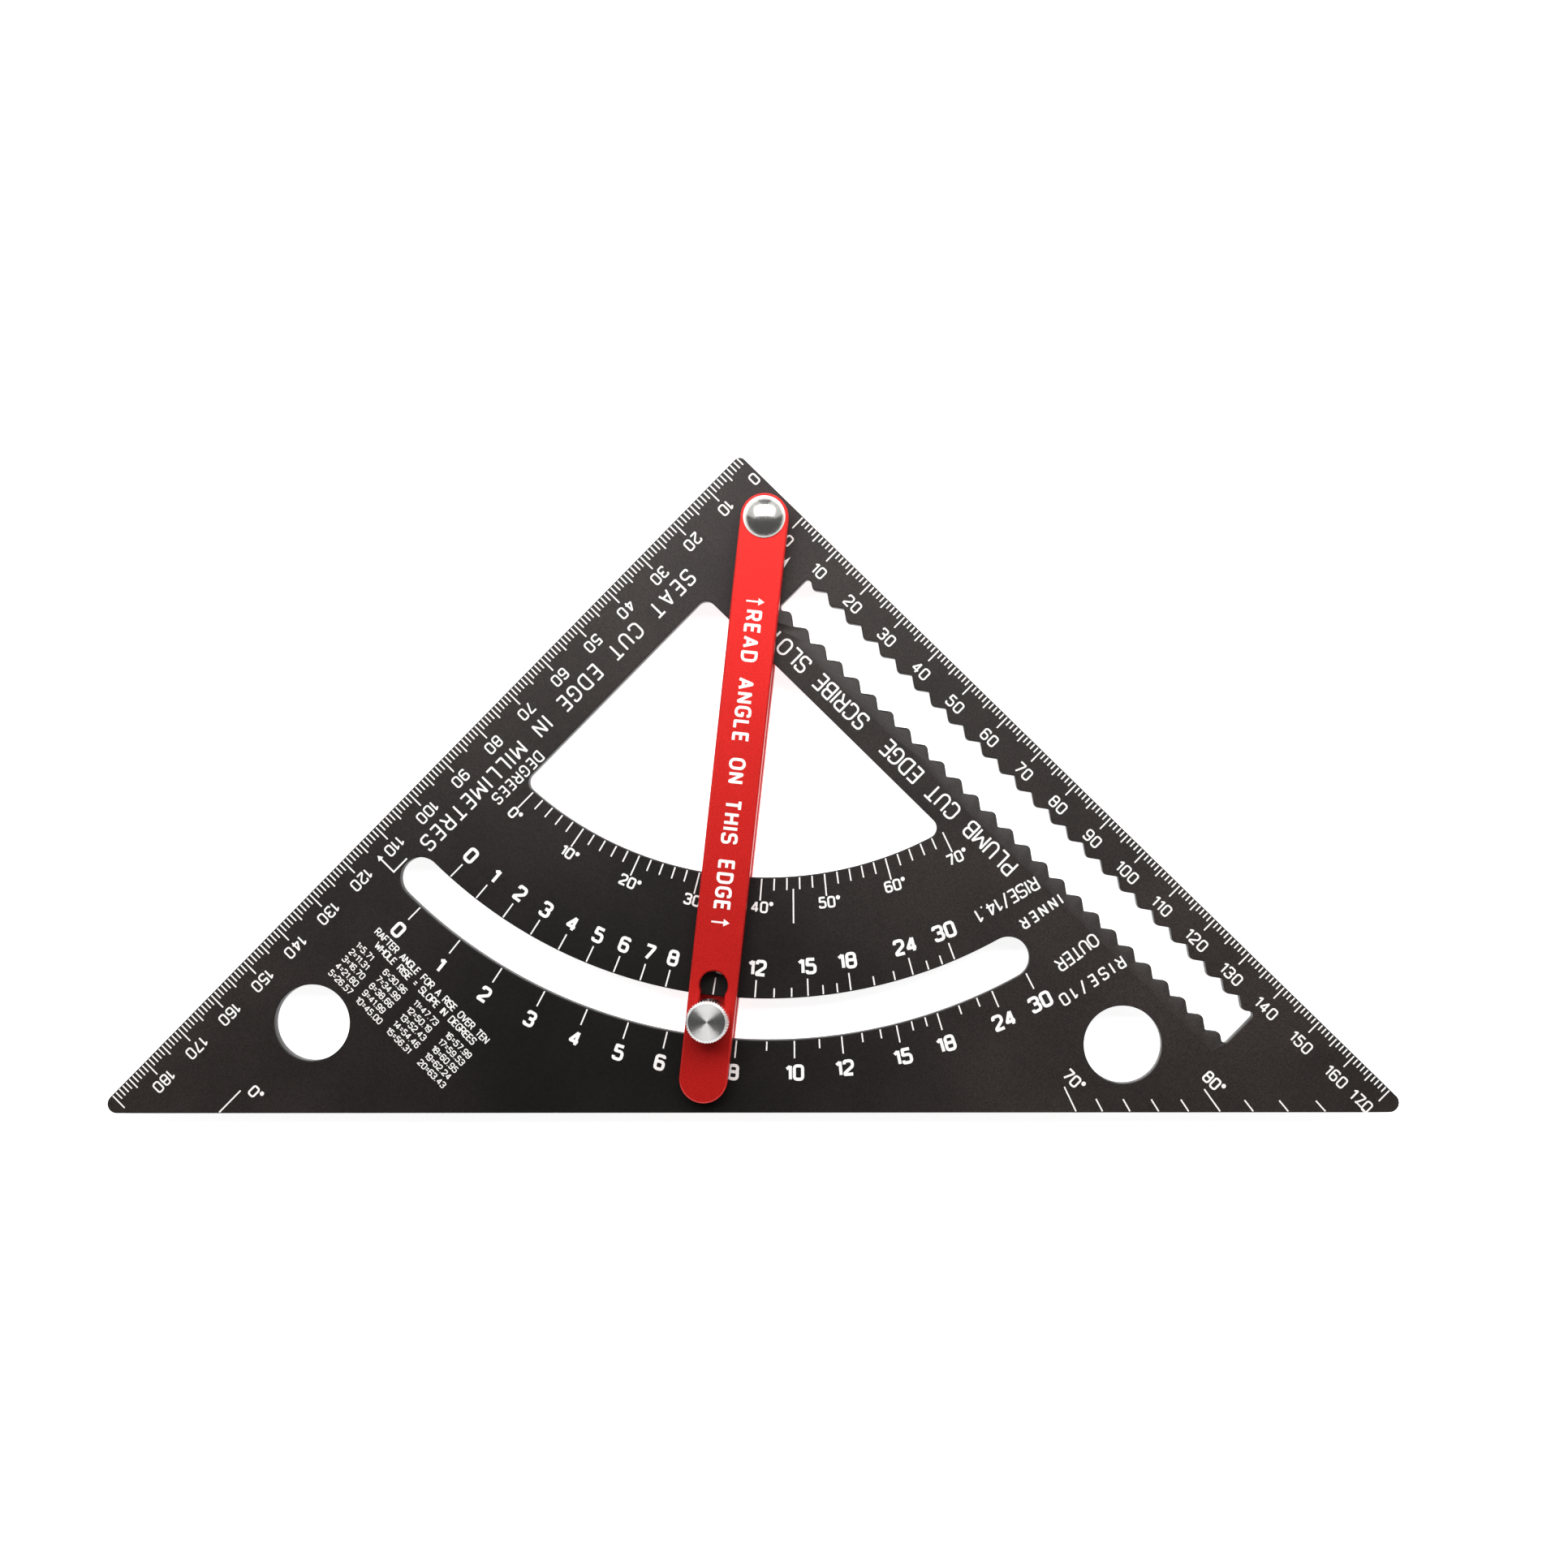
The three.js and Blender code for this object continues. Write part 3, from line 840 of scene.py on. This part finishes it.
# %% Stroke font
SOFT = 0.20
CRISP = 0.03
STROKES = {
    "0": (0.62, [[(0, 0), (.62, 0), (.62, 1), (0, 1), "loop"]]),
    "1": (0.28, [[(.28, 0), (.28, 1)], [(0, .76), (.26, .96)]]),
    "2": (0.60, [[(0, .76), (0, 1), (.60, 1), (.60, .58), (0, .12, .08), (0, 0, CRISP), (.60, 0)]]),
    "3": (0.60, [[(0, .80), (0, 1), (.60, 1), (.60, .53), (.20, .53)],
                 [(.20, .51), (.60, .51), (.60, 0), (0, 0), (0, .20)]]),
    "4": (0.64, [[(.46, 0), (.46, 1)], [(.44, .98), (0, .26, CRISP), (.64, .26)]]),
    "5": (0.60, [[(.57, 1), (.04, 1, CRISP), (.02, .59, CRISP), (.60, .59), (.60, 0), (0, 0), (0, .20)]]),
    "6": (0.60, [[(.57, .84), (.57, 1), (0, 1), (0, 0), (.60, 0), (.60, .57), (.09, .57)]]),
    "7": (0.60, [[(0, 1), (.60, 1, CRISP), (.60, .88, .10), (.20, 0)]]),
    "8": (0.62, [[(0, 0), (.62, 0), (.62, .48, .10), (.58, .54, .05), (.60, .60, .05), (.60, 1), (.02, 1),
                  (.02, .60, .05), (.04, .54, .05), (0, .48, .10), "loop"], [(.06, .53), (.56, .53)]]),
    "9": (0.60, [[(.03, .16), (.03, 0), (.60, 0), (.60, 1), (0, 1), (0, .43), (.51, .43)]]),
    "°": (0.22, [[(0, .78), (.22, .78), (.22, 1.02), (0, 1.02), "loop"]]),
    "=": (0.42, [[(0, .34), (.42, .34)], [(0, .68), (.42, .68)]]),
    ".": (0.12, [[(0, 0), (.12, 0)]]),
    "/": (0.40, [[(0, -.08), (.40, 1.08)]]),
    "A": (0.64, [[(0, 0), (.32, 1, CRISP), (.64, 0)], [(.10, .30), (.54, .30)]]),
    "B": (0.58, [[(0, 0, CRISP), (.58, 0), (.58, .52), (0, .52, CRISP), "loop"],
                 [(0, .52), (0, 1, CRISP), (.54, 1), (.54, .52), (.20, .52)]]),
    "C": (0.58, [[(.58, .78), (.58, 1, .3), (0, 1, .3), (0, 0, .3), (.58, 0, .3), (.58, .22)]]),
    "D": (0.60, [[(0, 0, CRISP), (.60, 0, .3), (.60, 1, .3), (0, 1, CRISP), "loop"]]),
    "E": (0.50, [[(.50, 1), (0, 1, CRISP), (0, 0, CRISP), (.50, 0)], [(0, .52), (.45, .52)]]),
    "F": (0.50, [[(.50, 1), (0, 1, CRISP), (0, 0)], [(0, .52), (.45, .52)]]),
    "G": (0.60, [[(.60, .78), (.60, 1, .3), (0, 1, .3), (0, 0, .3), (.60, 0, .3), (.60, .47, CRISP),
                  (.34, .47)]]),
    "H": (0.58, [[(0, 0), (0, 1)], [(.58, 0), (.58, 1)], [(0, .52), (.58, .52)]]),
    "I": (0.02, [[(.01, 0), (.01, 1)]]),
    "L": (0.48, [[(0, 1), (0, 0, CRISP), (.48, 0)]]),
    "M": (0.74, [[(0, 0), (0, 1, CRISP), (.37, .30, CRISP), (.74, 1, CRISP), (.74, 0)]]),
    "N": (0.58, [[(0, 0), (0, 1, CRISP), (.58, 0, CRISP), (.58, 1)]]),
    "O": (0.64, [[(0, 0, .3), (.64, 0, .3), (.64, 1, .3), (0, 1, .3), "loop"]]),
    "P": (0.56, [[(0, 0), (0, 1, CRISP), (.56, 1), (.56, .45), (.07, .45)]]),
    "R": (0.58, [[(0, 0), (0, 1, CRISP), (.56, 1), (.56, .47), (.07, .47)], [(.30, .47), (.58, 0)]]),
    "S": (0.58, [[(.56, .80), (.56, 1), (0, 1), (0, .53), (.58, .51), (.58, 0), (0, 0), (0, .20)]]),
    "T": (0.60, [[(0, 1), (.60, 1)], [(.30, 1), (.30, 0)]]),
    "U": (0.58, [[(0, 1), (0, 0, .3), (.58, 0, .3), (.58, 1)]]),
    "V": (0.62, [[(0, 1), (.31, 0, CRISP), (.62, 1)]]),
    "W": (0.84, [[(0, 1), (.20, 0, CRISP), (.42, .74, CRISP), (.64, 0, CRISP), (.84, 1)]]),
}
WORD_SPACE = 0.55
print(len(STROKES), "characters")


# %% Writing
LAYER = 0.004 * MM
CLIMB = 0.0003 * MM
STROKE_FLATNESS = 0.10
ARROW_SIDE = 0.62


class Lettering:
    """Collects strokes and solid arrow heads for one marked face."""

    def __init__(self):
        self.points, self.edges, self.weights, self.solids = [], [], [], []

    def stroke(self, path, closed, weight, layer=0):
        """Keeps one stroke. It climbs very slightly from point to point, so that it never coincides
        with itself in a tight corner, and strokes that cross lie in different layers."""
        first = len(self.points)
        self.points += [(x, y, layer * LAYER + i * CLIMB) for i, (x, y) in enumerate(path)]
        self.weights += [weight] * len(path)
        self.edges += [(first + i, first + i + 1) for i in range(len(path) - 1)]
        if closed:
            self.edges.append((first + len(path) - 1, first))

    def write(self, text, at, turn, height, weight, gap=0.34, span=None, align="centre"):
        """Writes text of an overall height. Align is centre, or start with at on the baseline."""
        unit = height - weight
        widths = [STROKES[c][0] if c != " " else WORD_SPACE for c in text]
        natural = (sum(widths) + gap * (len(text) - 1)) * unit
        if span is not None:
            gap += (span - weight - natural) / unit / (len(text) - 1)
            natural = span - weight
        left = -natural / 2 if align == "centre" else weight / 2
        base = -unit / 2 if align == "centre" else weight / 2
        c, s = math.cos(turn), math.sin(turn)
        for character, width in zip(text, widths):
            for layer, path in enumerate(STROKES[character][1] if character != " " else []):
                closed = path[-1] == "loop"
                corners = [(*p, SOFT) if len(p) == 2 else p for p in path if p != "loop"]
                placed = []
                for x, y in rounded(corners, closed, math.radians(24)):
                    u, v = left + x * unit, base + y * unit
                    placed.append((at[0] + u * c - v * s, at[1] + u * s + v * c))
                self.stroke(placed, closed, weight, layer)
            left += (width + gap) * unit

    def arrow(self, tail, tip, weight, head):
        """A straight arrow whose solid head is that long."""
        tail, tip = Vector(tail), Vector(tip)
        ahead = (tip - tail).normalized()
        side = Vector((-ahead.y, ahead.x)) * head * ARROW_SIDE
        neck = tip - ahead * head
        self.stroke([tuple(tail), tuple(neck + ahead * head * 0.3)], False, weight)
        self.solids.append([tuple(tip), tuple(neck + side), tuple(neck - side)])


# %% Stroke tree
def sweep(tree, curve, section, *links):
    """A closed bar along a curve, with its section kept upright."""
    level = add_node(tree, "GeometryNodeSetCurveNormal", [("Curve", curve)], mode="Z_UP")
    return add_node(tree, "GeometryNodeCurveToMesh", [
        ("Curve", level.outputs["Curve"]), ("Profile Curve", section), ("Fill Caps", True),
        *links]).outputs["Mesh"]


def stroke_tree():
    tree, given, result = new_tree("marking_stroke_tree", [("Flatness", "Float"), ("Material", "Material")])
    path = add_node(tree, "GeometryNodeMeshToCurve", [("Mesh", given["Geometry"])])
    section = add_node(tree, "GeometryNodeCurvePrimitiveQuadrilateral", [("Height", given["Flatness"]),
                                                                         ("Width", 1.0)])
    swept = sweep(tree, path.outputs["Curve"], section.outputs["Curve"], ("Scale", attribute(tree, "weight")))
    return finish_tree(tree, swept, given, result)


stroke_nodes = stroke_tree()


def lettering_piece(name, lettering, z, place, body):
    """Sweeps the collected strokes, adds the solid heads, and sets the result on a face."""
    source = point_object(name, [(x, y, z + up) for x, y, up in lettering.points], lettering.edges,
                          weight=lettering.weights)
    mesh = run_tree(source, stroke_nodes, {"Flatness": STROKE_FLATNESS, "Material": white_marks})
    work = bmesh.new()
    work.from_mesh(mesh)
    for outline in lettering.solids:
        low = [work.verts.new((x, y, z - MARK_T / 2)) for x, y in outline]
        high = [work.verts.new((x, y, z + MARK_T / 2)) for x, y in outline]
        faces = [work.faces.new(high), work.faces.new(low[::-1])]
        for i in range(len(outline)):
            j = (i + 1) % len(outline)
            faces.append(work.faces.new((low[i], low[j], high[j], high[i])))
    bmesh.ops.recalc_face_normals(work, faces=work.faces)
    work.to_mesh(mesh)
    work.free()
    mesh.transform(place)
    piece = piece_from(name, mesh, white_marks)
    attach(piece, body)
    print(name, "has", len(mesh.polygons), "faces")


# %% [markdown]
# Figures on the seat leg read along the edge, and those on the plumb leg read up the edge. Figures
# on the arcs stand with their tops toward the pivot, centred on their own line.

# %% Plate figures
FIGURE_H, FIGURE_W = 2.55 * MM, 0.36 * MM
RAFTER_H, RAFTER_W = 3.45 * MM, 0.66 * MM
SEAT_FIGURES_Y = -7.75 * MM
PLUMB_FIGURES_X = -0.15 * MM
UP_THE_LEG = math.pi / 2

plate_text = Lettering()
for n in range(0, 181, 10):
    x = PLUMB_X + (n or 1.5) * MM
    plate_text.write(str(n), (x, SEAT_FIGURES_Y), 0, FIGURE_H, FIGURE_W)
for n in range(0, 171, 10):
    y = READ_OFFSET + (n + 0.3 + (n == 0) * 0.9 - (n == 170) * 2.9) * MM
    plate_text.write(str(n), (PLUMB_FIGURES_X, y), UP_THE_LEG, FIGURE_H, FIGURE_W)


def write_on_reading_line(text, turn, along, across, height, weight):
    at = reading_point(turn, along, READ_OFFSET + across)
    plate_text.write(text, at, turn + math.pi / 2, height, weight, gap=0.30)


for degrees in range(0, 71, 10):
    write_on_reading_line(f"{degrees}°", math.radians(degrees), 81.2 * MM, 0.5 * MM, 2.45 * MM, 0.42 * MM)
for n in LABELLED:
    for run, along in ((HIP_RUN, inner_end - 6.2 * MM), (COMMON_RUN, outer_start + 6.6 * MM)):
        write_on_reading_line(str(n), math.atan(n / run), along, 0, RAFTER_H, RAFTER_W)
plate_text.write("0°", (161.9 * MM, 8.0 * MM), UP_THE_LEG, 2.6 * MM, 0.42 * MM, gap=0.3)
for degrees in (70, 80):
    turn = math.radians(degrees)
    x, y = reading_point(turn, along_at_long_edge(turn) - 5.9 * MM)
    plate_text.write(f"{degrees}°", (x - 2.4 * MM, y + 0.4 * MM), UP_THE_LEG, 2.6 * MM, 0.42 * MM, gap=0.3)

# %% [markdown]
# A small table gives the angle in degrees for each whole rise over a run of ten, which is just
# the arctangent. Plain words name the edges and the scales, an arrow marks the slot's start on the
# seat scale, and a small wedge marks the pivot side of the plumb scale.

# %% Plate words and table
TABLE_X, TABLE_ROW = 124.2 * MM, 2.06 * MM
TABLE_COLUMNS = (1.1 * MM, 9.2 * MM, 18.4 * MM, 27.9 * MM)
TABLE_H, TABLE_W = 1.45 * MM, 0.22 * MM
ROWS = 5

for n in range(1, ROWS * len(TABLE_COLUMNS) + 1):
    column, row = divmod(n - 1, ROWS)
    entry = f"{n}={math.degrees(math.atan(n / COMMON_RUN)):.2f}"
    at = (TABLE_X + row * TABLE_ROW + TABLE_H / 2, TABLE_COLUMNS[column])
    plate_text.write(entry, at, UP_THE_LEG, TABLE_H, TABLE_W, gap=0.26, align="start")
for heading, x, y, span in (("RAFTER ANGLE FOR A RISE OVER TEN", 119.3, 2.0, 33.4),
                            ("WHOLE RISE = SLOPE IN DEGREES", 121.4, 4.0, 29.6)):
    at = ((x + 0.85) * MM, y * MM)
    plate_text.write(heading, at, UP_THE_LEG, 1.7 * MM, 0.25 * MM, span=span * MM, align="start")

DOWN_THE_LEG = -math.pi / 2
plate_text.write("SEAT CUT EDGE IN MILLIMETRES", (19.0 * MM, -4.95 * MM), 0, 3.6 * MM, 0.42 * MM,
                 span=80.6 * MM, align="start")
plate_text.write("DEGREES", (68.3 * MM, -0.5 * MM), 0, 2.6 * MM, 0.34 * MM, span=14.0 * MM, align="start")
plate_text.write("PLUMB CUT EDGE  SCRIBE SLOT", (14.3 * MM, 88.6 * MM), DOWN_THE_LEG, 3.8 * MM, 0.44 * MM,
                 span=71.0 * MM, align="start")
SMALL_WORDS = (
    ("RISE/14.1", 21.3, 91.9, -15, 3.0, 14.5),
    ("INNER", 18.2, 98.7, -11, 2.5, 10.0),
    ("OUTER", 19.0, 109.9, -9, 3.0, 10.2),
    ("RISE/10", 21.0, 116.3, -12, 2.7, 15.6),
)
for word, x, y, tilt, height, span in SMALL_WORDS:
    plate_text.write(word, (x * MM, y * MM), math.radians(tilt), height * MM, 0.38 * MM, span=span * MM)

plate_text.stroke([(104.0 * MM, -4.0 * MM), (108.0 * MM, -4.0 * MM)], False, 0.34 * MM)
plate_text.arrow((108.0 * MM, -3.83 * MM), (108.0 * MM, -8.9 * MM), 0.34 * MM, 1.1 * MM)
plate_text.solids.append([(1.9 * MM, 9.3 * MM), (4.6 * MM, 8.6 * MM), (4.9 * MM, 10.0 * MM)])
lettering_piece("scale_figures", plate_text, MARK_Z, Matrix.Identity(4), "square")

# %% [markdown]
# ## The arm
#
# Two bars of red anodised aluminium sandwich the plate. Both are milled with round ends and a
# clean flat chamfer, which shows as a lighter line round every edge. The front bar has a keyhole
# beside the knob and plain words between two arrows. The back bar has a square hole that holds
# the clamp screw's neck. They are drawn along X and turned to the arm's rest angle.

# %% Bar outlines
front_low, front_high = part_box("front_arm_bar")
back_low, back_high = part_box("back_arm_bar")
ARM_W = 10.0 * MM
ARM_TIP = 122.6 * MM
KEYHOLE_AT = 98.1 * MM
KEYHOLE_R = 3.0 * MM
KEYHOLE_SLOT_W = 5.2 * MM
NECK_HOLE = 4.6 * MM
BAR_EDGE = 0.3 * MM
turn_arm = Matrix.Rotation(ARM_TURN, 4, "Z")


def bar_outline():
    r = ARM_W / 2
    fine = math.radians(4)
    return (arc(ARM_TIP - r, 0, r, -math.pi / 2, math.pi / 2, fine)
            + arc(0, 0, r, math.pi / 2, 1.5 * math.pi, fine))


def keyhole_outline():
    """A round hole that opens into a slot with a round far end, under the knob."""
    side = KEYHOLE_SLOT_W / 2
    mouth = math.asin(side / KEYHOLE_R)
    return (arc(KEYHOLE_AT, 0, KEYHOLE_R, mouth, 2 * math.pi - mouth)
            + arc(CLAMP_AT, 0, side, -math.pi / 2, math.pi / 2))


def square_outline(x, side):
    h, r = side / 2, 0.3 * MM
    return rounded([(x - h, -h, r), (x + h, -h, r), (x + h, h, r), (x - h, h, r)])


# %% Bars
front_bar = flat_piece("front_bar", [bar_outline(), keyhole_outline(), circle(0, 0, RIVET_BORE_R)],
                       front_low.z, front_high.z, BAR_EDGE, 0, red_anodised)
back_bar = flat_piece("back_bar", [bar_outline(), square_outline(CLAMP_AT, NECK_HOLE),
                                   circle(0, 0, RIVET_BORE_R)],
                      back_low.z, back_high.z, BAR_EDGE, 0, red_anodised)
for bar, node in ((front_bar, "front_arm_bar"), (back_bar, "back_arm_bar")):
    bar.data.transform(turn_arm)
    keep_faces_flat(bar.data)
    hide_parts(node)
    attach(bar, "arm")
    print(bar.name, "has", len(bar.data.polygons), "faces")

# %% Arm words
ARM_TEXT_H, ARM_TEXT_W = 3.5 * MM, 0.62 * MM
arm_text = Lettering()
arm_text.write("READ ANGLE ON THIS EDGE", (19.6 * MM, -ARM_TEXT_H / 2), 0, ARM_TEXT_H, ARM_TEXT_W,
               span=62.8 * MM, align="start")
for x in (17.8 * MM, 84.9 * MM):
    arm_text.arrow((x, -1.85 * MM), (x, 1.95 * MM), 0.36 * MM, 1.25 * MM)
lettering_piece("arm_lettering", arm_text, front_high.z + PROUD, turn_arm, "arm")

# %% [markdown]
# ## The pivot
#
# A polished domed rivet with a thin rim holds the arm. Its tail is formed flat over a small burr
# washer at the back, and two nylon shims keep the bars off the plate so that the arm swings
# without scratching it. All are turned about the pivot's axis.

# %% Rivet
rivet_low, rivet_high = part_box("pivot_rivet")
dome_r = rivet_high.x
RIVET_SHANK_R = 2.5 * MM
RIVET_TAIL_R = 3.5 * MM
RIVET_TAIL_T = 0.9 * MM
RIM_T = 0.3 * MM
head_z = front_high.z + 0.05 * MM


def dome_profile():
    """A shallow spherical cap above a thin rolled rim."""
    cap = rivet_high.z - head_z - RIM_T
    ball = (dome_r ** 2 + cap ** 2) / (2 * cap)
    edge_turn = math.asin(dome_r / ball)
    steps = 22
    points = []
    for i in range(steps + 1):
        t = edge_turn * (1 - i / steps)
        points.append((ball * math.sin(t), rivet_high.z - ball + ball * math.cos(t)))
    points[-1] = (0, rivet_high.z)
    return points


rivet_profile = [
    (0, rivet_low.z + 0.12 * MM),
    (1.2 * MM, rivet_low.z + 0.08 * MM),
    (1.6 * MM, rivet_low.z),
    (RIVET_TAIL_R - 0.3 * MM, rivet_low.z),
    (RIVET_TAIL_R - 0.08 * MM, rivet_low.z + 0.10 * MM),
    (RIVET_TAIL_R, rivet_low.z + 0.32 * MM),
    (RIVET_TAIL_R, RIVET_TAIL_T),
    (RIVET_SHANK_R, RIVET_TAIL_T),
    (RIVET_SHANK_R, head_z),
    (dome_r - 0.08 * MM, head_z),
    (dome_r, head_z + 0.08 * MM),
    *dome_profile(),
]
rivet = piece_from("rivet", turned_mesh("rivet", rivet_profile, PIVOT, 128), polished_chrome)
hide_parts("pivot_rivet")
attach(rivet, "square")

# %% Washer and shims
def turned_ring(name, node, inner, edge, centre, material, body):
    """A washer or collar that takes its height and outer radius from its CAD node."""
    low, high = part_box(node)
    outer = (high.x - low.x) / 2
    profile = ring_profile(inner, outer, low.z, high.z, edge)
    piece = piece_from(name, turned_mesh(name, profile, centre), material)
    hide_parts(node)
    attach(piece, body)
    print(f"{name}: {2 * outer / MM:.1f} mm across, {(high.z - low.z) / MM:.2f} mm thick")


turned_ring("burr_washer", "rivet_burr_washer", RIVET_BORE_R, 0.06 * MM, PIVOT, zinc_steel,
            "square")
for side in ("front", "back"):
    turned_ring(f"{side}_shim", f"{side}_pivot_shim", RIVET_BORE_R, 0.05 * MM, PIVOT, nylon, "arm")

# %% [markdown]
# ## The clamp
#
# The screw's flat head and square neck sit in the back bar, a collar on it runs in the arc slot,
# and a washer spreads the knob's pressure over the keyhole. The thread is a real helix, swept by
# Geometry Nodes, so it shows in the gap when the knob is backed off.

# %% Collar and washer
SCREW_BORE_R = 2.3 * MM
turned_ring("guide_collar", "slot_guide_collar", SCREW_BORE_R, 0.15 * MM, CLAMP, zinc_steel,
            "arm")
turned_ring("pressure_washer", "clamp_washer", SCREW_BORE_R, 0.10 * MM, CLAMP, zinc_steel,
            "knob_carrier")

# %% Screw and thread
screw_low, screw_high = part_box("clamp_screw")
SCREW_R = 2.0 * MM
HEAD_R = 4.5 * MM
HEAD_T = 1.3 * MM
NECK = 4.0 * MM
THREAD_PITCH = 0.8 * MM
THREAD_DEPTH = 0.35 * MM


def thread_tree():
    tree, given, result = new_tree("thread_tree", [
        ("Pitch", "Float"), ("Turns", "Float"), ("Radius", "Float"), ("Ridge", "Float"),
        ("Material", "Material")])
    helix = add_node(tree, "GeometryNodeCurveSpiral", [
        ("Resolution", 48), ("Rotations", given["Turns"]), ("Start Radius", given["Radius"]),
        ("End Radius", given["Radius"]),
        ("Height", math_node(tree, "MULTIPLY", given["Pitch"], given["Turns"]))])
    ridge = add_node(tree, "GeometryNodeCurvePrimitiveCircle", [("Resolution", 4),
                                                                ("Radius", given["Ridge"])])
    swept = sweep(tree, helix.outputs["Curve"], ridge.outputs["Curve"])
    return finish_tree(tree, swept, given, result)


def screw_mesh():
    """Head, square neck, core and thread together, all about the clamp's axis."""
    core_r = SCREW_R - THREAD_DEPTH
    neck_top = back_high.z - 0.05 * MM
    profile = [(0, screw_low.z), *rounded([
        (0, screw_low.z, 0), (HEAD_R, screw_low.z, 0.35 * MM), (HEAD_R, HEAD_T, 0.1 * MM),
        (SCREW_R, HEAD_T, 0), (SCREW_R, neck_top, 0), (core_r, neck_top + 0.3 * MM, 0),
        (core_r, screw_high.z - 0.3 * MM, 0), (core_r - 0.4 * MM, screw_high.z, 0),
        (0, screw_high.z, 0)], closed=False)[1:]]
    turned = turned_mesh("clamp_screw_turned", profile, CLAMP, 64)
    neck = flat_piece("neck", [square_outline(0, NECK)], HEAD_T - 0.2 * MM, neck_top, 0.15 * MM, 0,
                      zinc_steel)
    neck.data.transform(Matrix.Translation((CLAMP.x, CLAMP.y, 0)) @ turn_arm)
    turns = (screw_high.z - 0.9 * MM - back_high.z) / THREAD_PITCH
    seed = point_object("thread", [(0, 0, 0)])
    thread = run_tree(seed, thread_tree(), {"Pitch": THREAD_PITCH, "Turns": turns, "Radius": core_r,
                                            "Ridge": THREAD_DEPTH, "Material": zinc_steel})
    thread.transform(Matrix.Translation((CLAMP.x, CLAMP.y, back_high.z + 0.4 * MM)))
    work = bmesh.new()
    for mesh in (turned, neck.data, thread):
        work.from_mesh(mesh)
    bpy.data.objects.remove(neck)
    bmesh.ops.recalc_face_normals(work, faces=work.faces)
    joined = bpy.data.meshes.new("screw")
    work.to_mesh(joined)
    work.free()
    return joined


screw = piece_from("carriage_screw", screw_mesh(), zinc_steel)
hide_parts("clamp_screw")
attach(screw, "arm")
print("screw has", len(screw.data.polygons), "faces")

# %% [markdown]
# The knob is a turned blank with a chamfer, rolled between knurling wheels. A knurl is the same
# ridge many times round a cylinder, and where it meets the chamfer it runs out by itself. The tree
# states exactly that: no point may lie further out than the ridged radius, which swings between
# its crest and its root many times in one turn.

# %% Knob
knob_low, knob_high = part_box("clamp_knob")
KNOB_R = (knob_high.x - knob_low.x) / 2
KNURL_COUNT = 46
KNURL_DEPTH = 0.22 * MM
KNOB_CHAMFER = 0.6 * MM
KNOB_BORE_DEPTH = 5.6 * MM


def knurl_tree():
    tree, given, result = new_tree("knurl_tree", [
        ("Ridges", "Int"), ("Crest", "Float"), ("Depth", "Float"), ("Axis", "Vector"),
        ("Material", "Material")])
    place = add_node(tree, "GeometryNodeInputPosition").outputs["Position"]
    flat = vector_node(tree, "MULTIPLY", vector_node(tree, "SUBTRACT", place, given["Axis"]), (1, 1, 0))
    parts = add_node(tree, "ShaderNodeSeparateXYZ", [("Vector", flat)]).outputs
    turn = math_node(tree, "ARCTAN2", parts["Y"], parts["X"])
    swing = math_node(tree, "COSINE", math_node(tree, "MULTIPLY", turn, given["Ridges"]))
    dip = math_node(tree, "MULTIPLY_ADD", swing, -0.5, 0.5)
    limit = math_node(tree, "SUBTRACT", given["Crest"], math_node(tree, "MULTIPLY", dip, given["Depth"]))
    radius = length_of(tree, flat)
    change = math_node(tree, "SUBTRACT", math_node(tree, "MINIMUM", radius, limit), radius)
    move = add_node(tree, "ShaderNodeVectorMath", [(0, vector_node(tree, "NORMALIZE", flat)),
                                                   ("Scale", change)], operation="SCALE")
    moved = add_node(tree, "GeometryNodeSetPosition", [("Geometry", given["Geometry"]),
                                                       ("Offset", move.outputs["Vector"])])
    return finish_tree(tree, moved.outputs["Geometry"], given, result)


def knob_blank():
    """The turned blank: bored from below, chamfered at both ends, faced in fine rings on top."""
    low, high = knob_low.z, knob_high.z
    face_r = KNOB_R - KNOB_CHAMFER
    flank = [(KNOB_R, low + 0.3 * MM + i * (high - low - 0.3 * MM - KNOB_CHAMFER) / 6) for i in range(7)]
    chamfer = [(KNOB_R - KNOB_CHAMFER * i / 5, high - KNOB_CHAMFER + KNOB_CHAMFER * i / 5)
               for i in range(1, 6)]
    face = [(face_r * (1 - i / 9), high) for i in range(1, 9)]
    return [(0, low + KNOB_BORE_DEPTH), (SCREW_BORE_R, low + KNOB_BORE_DEPTH), (SCREW_BORE_R, low),
            (KNOB_R - 0.3 * MM, low), *flank, *chamfer, *face, (0, high)]


SEGMENTS_PER_RIDGE = 8
blank = turned_mesh("knob_blank", knob_blank(), CLAMP, KNURL_COUNT * SEGMENTS_PER_RIDGE)
knob_mesh = run_tree(add_object("knob_blank", blank), knurl_tree(), {
    "Ridges": KNURL_COUNT, "Crest": KNOB_R, "Depth": KNURL_DEPTH, "Axis": CLAMP, "Material": turned_metal})
knob = piece_from("knurled_knob", knob_mesh, turned_metal)
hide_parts("clamp_knob")
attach(knob, "knob")
print("knob has", len(knob.data.polygons), "faces and", KNURL_COUNT, "ridges")
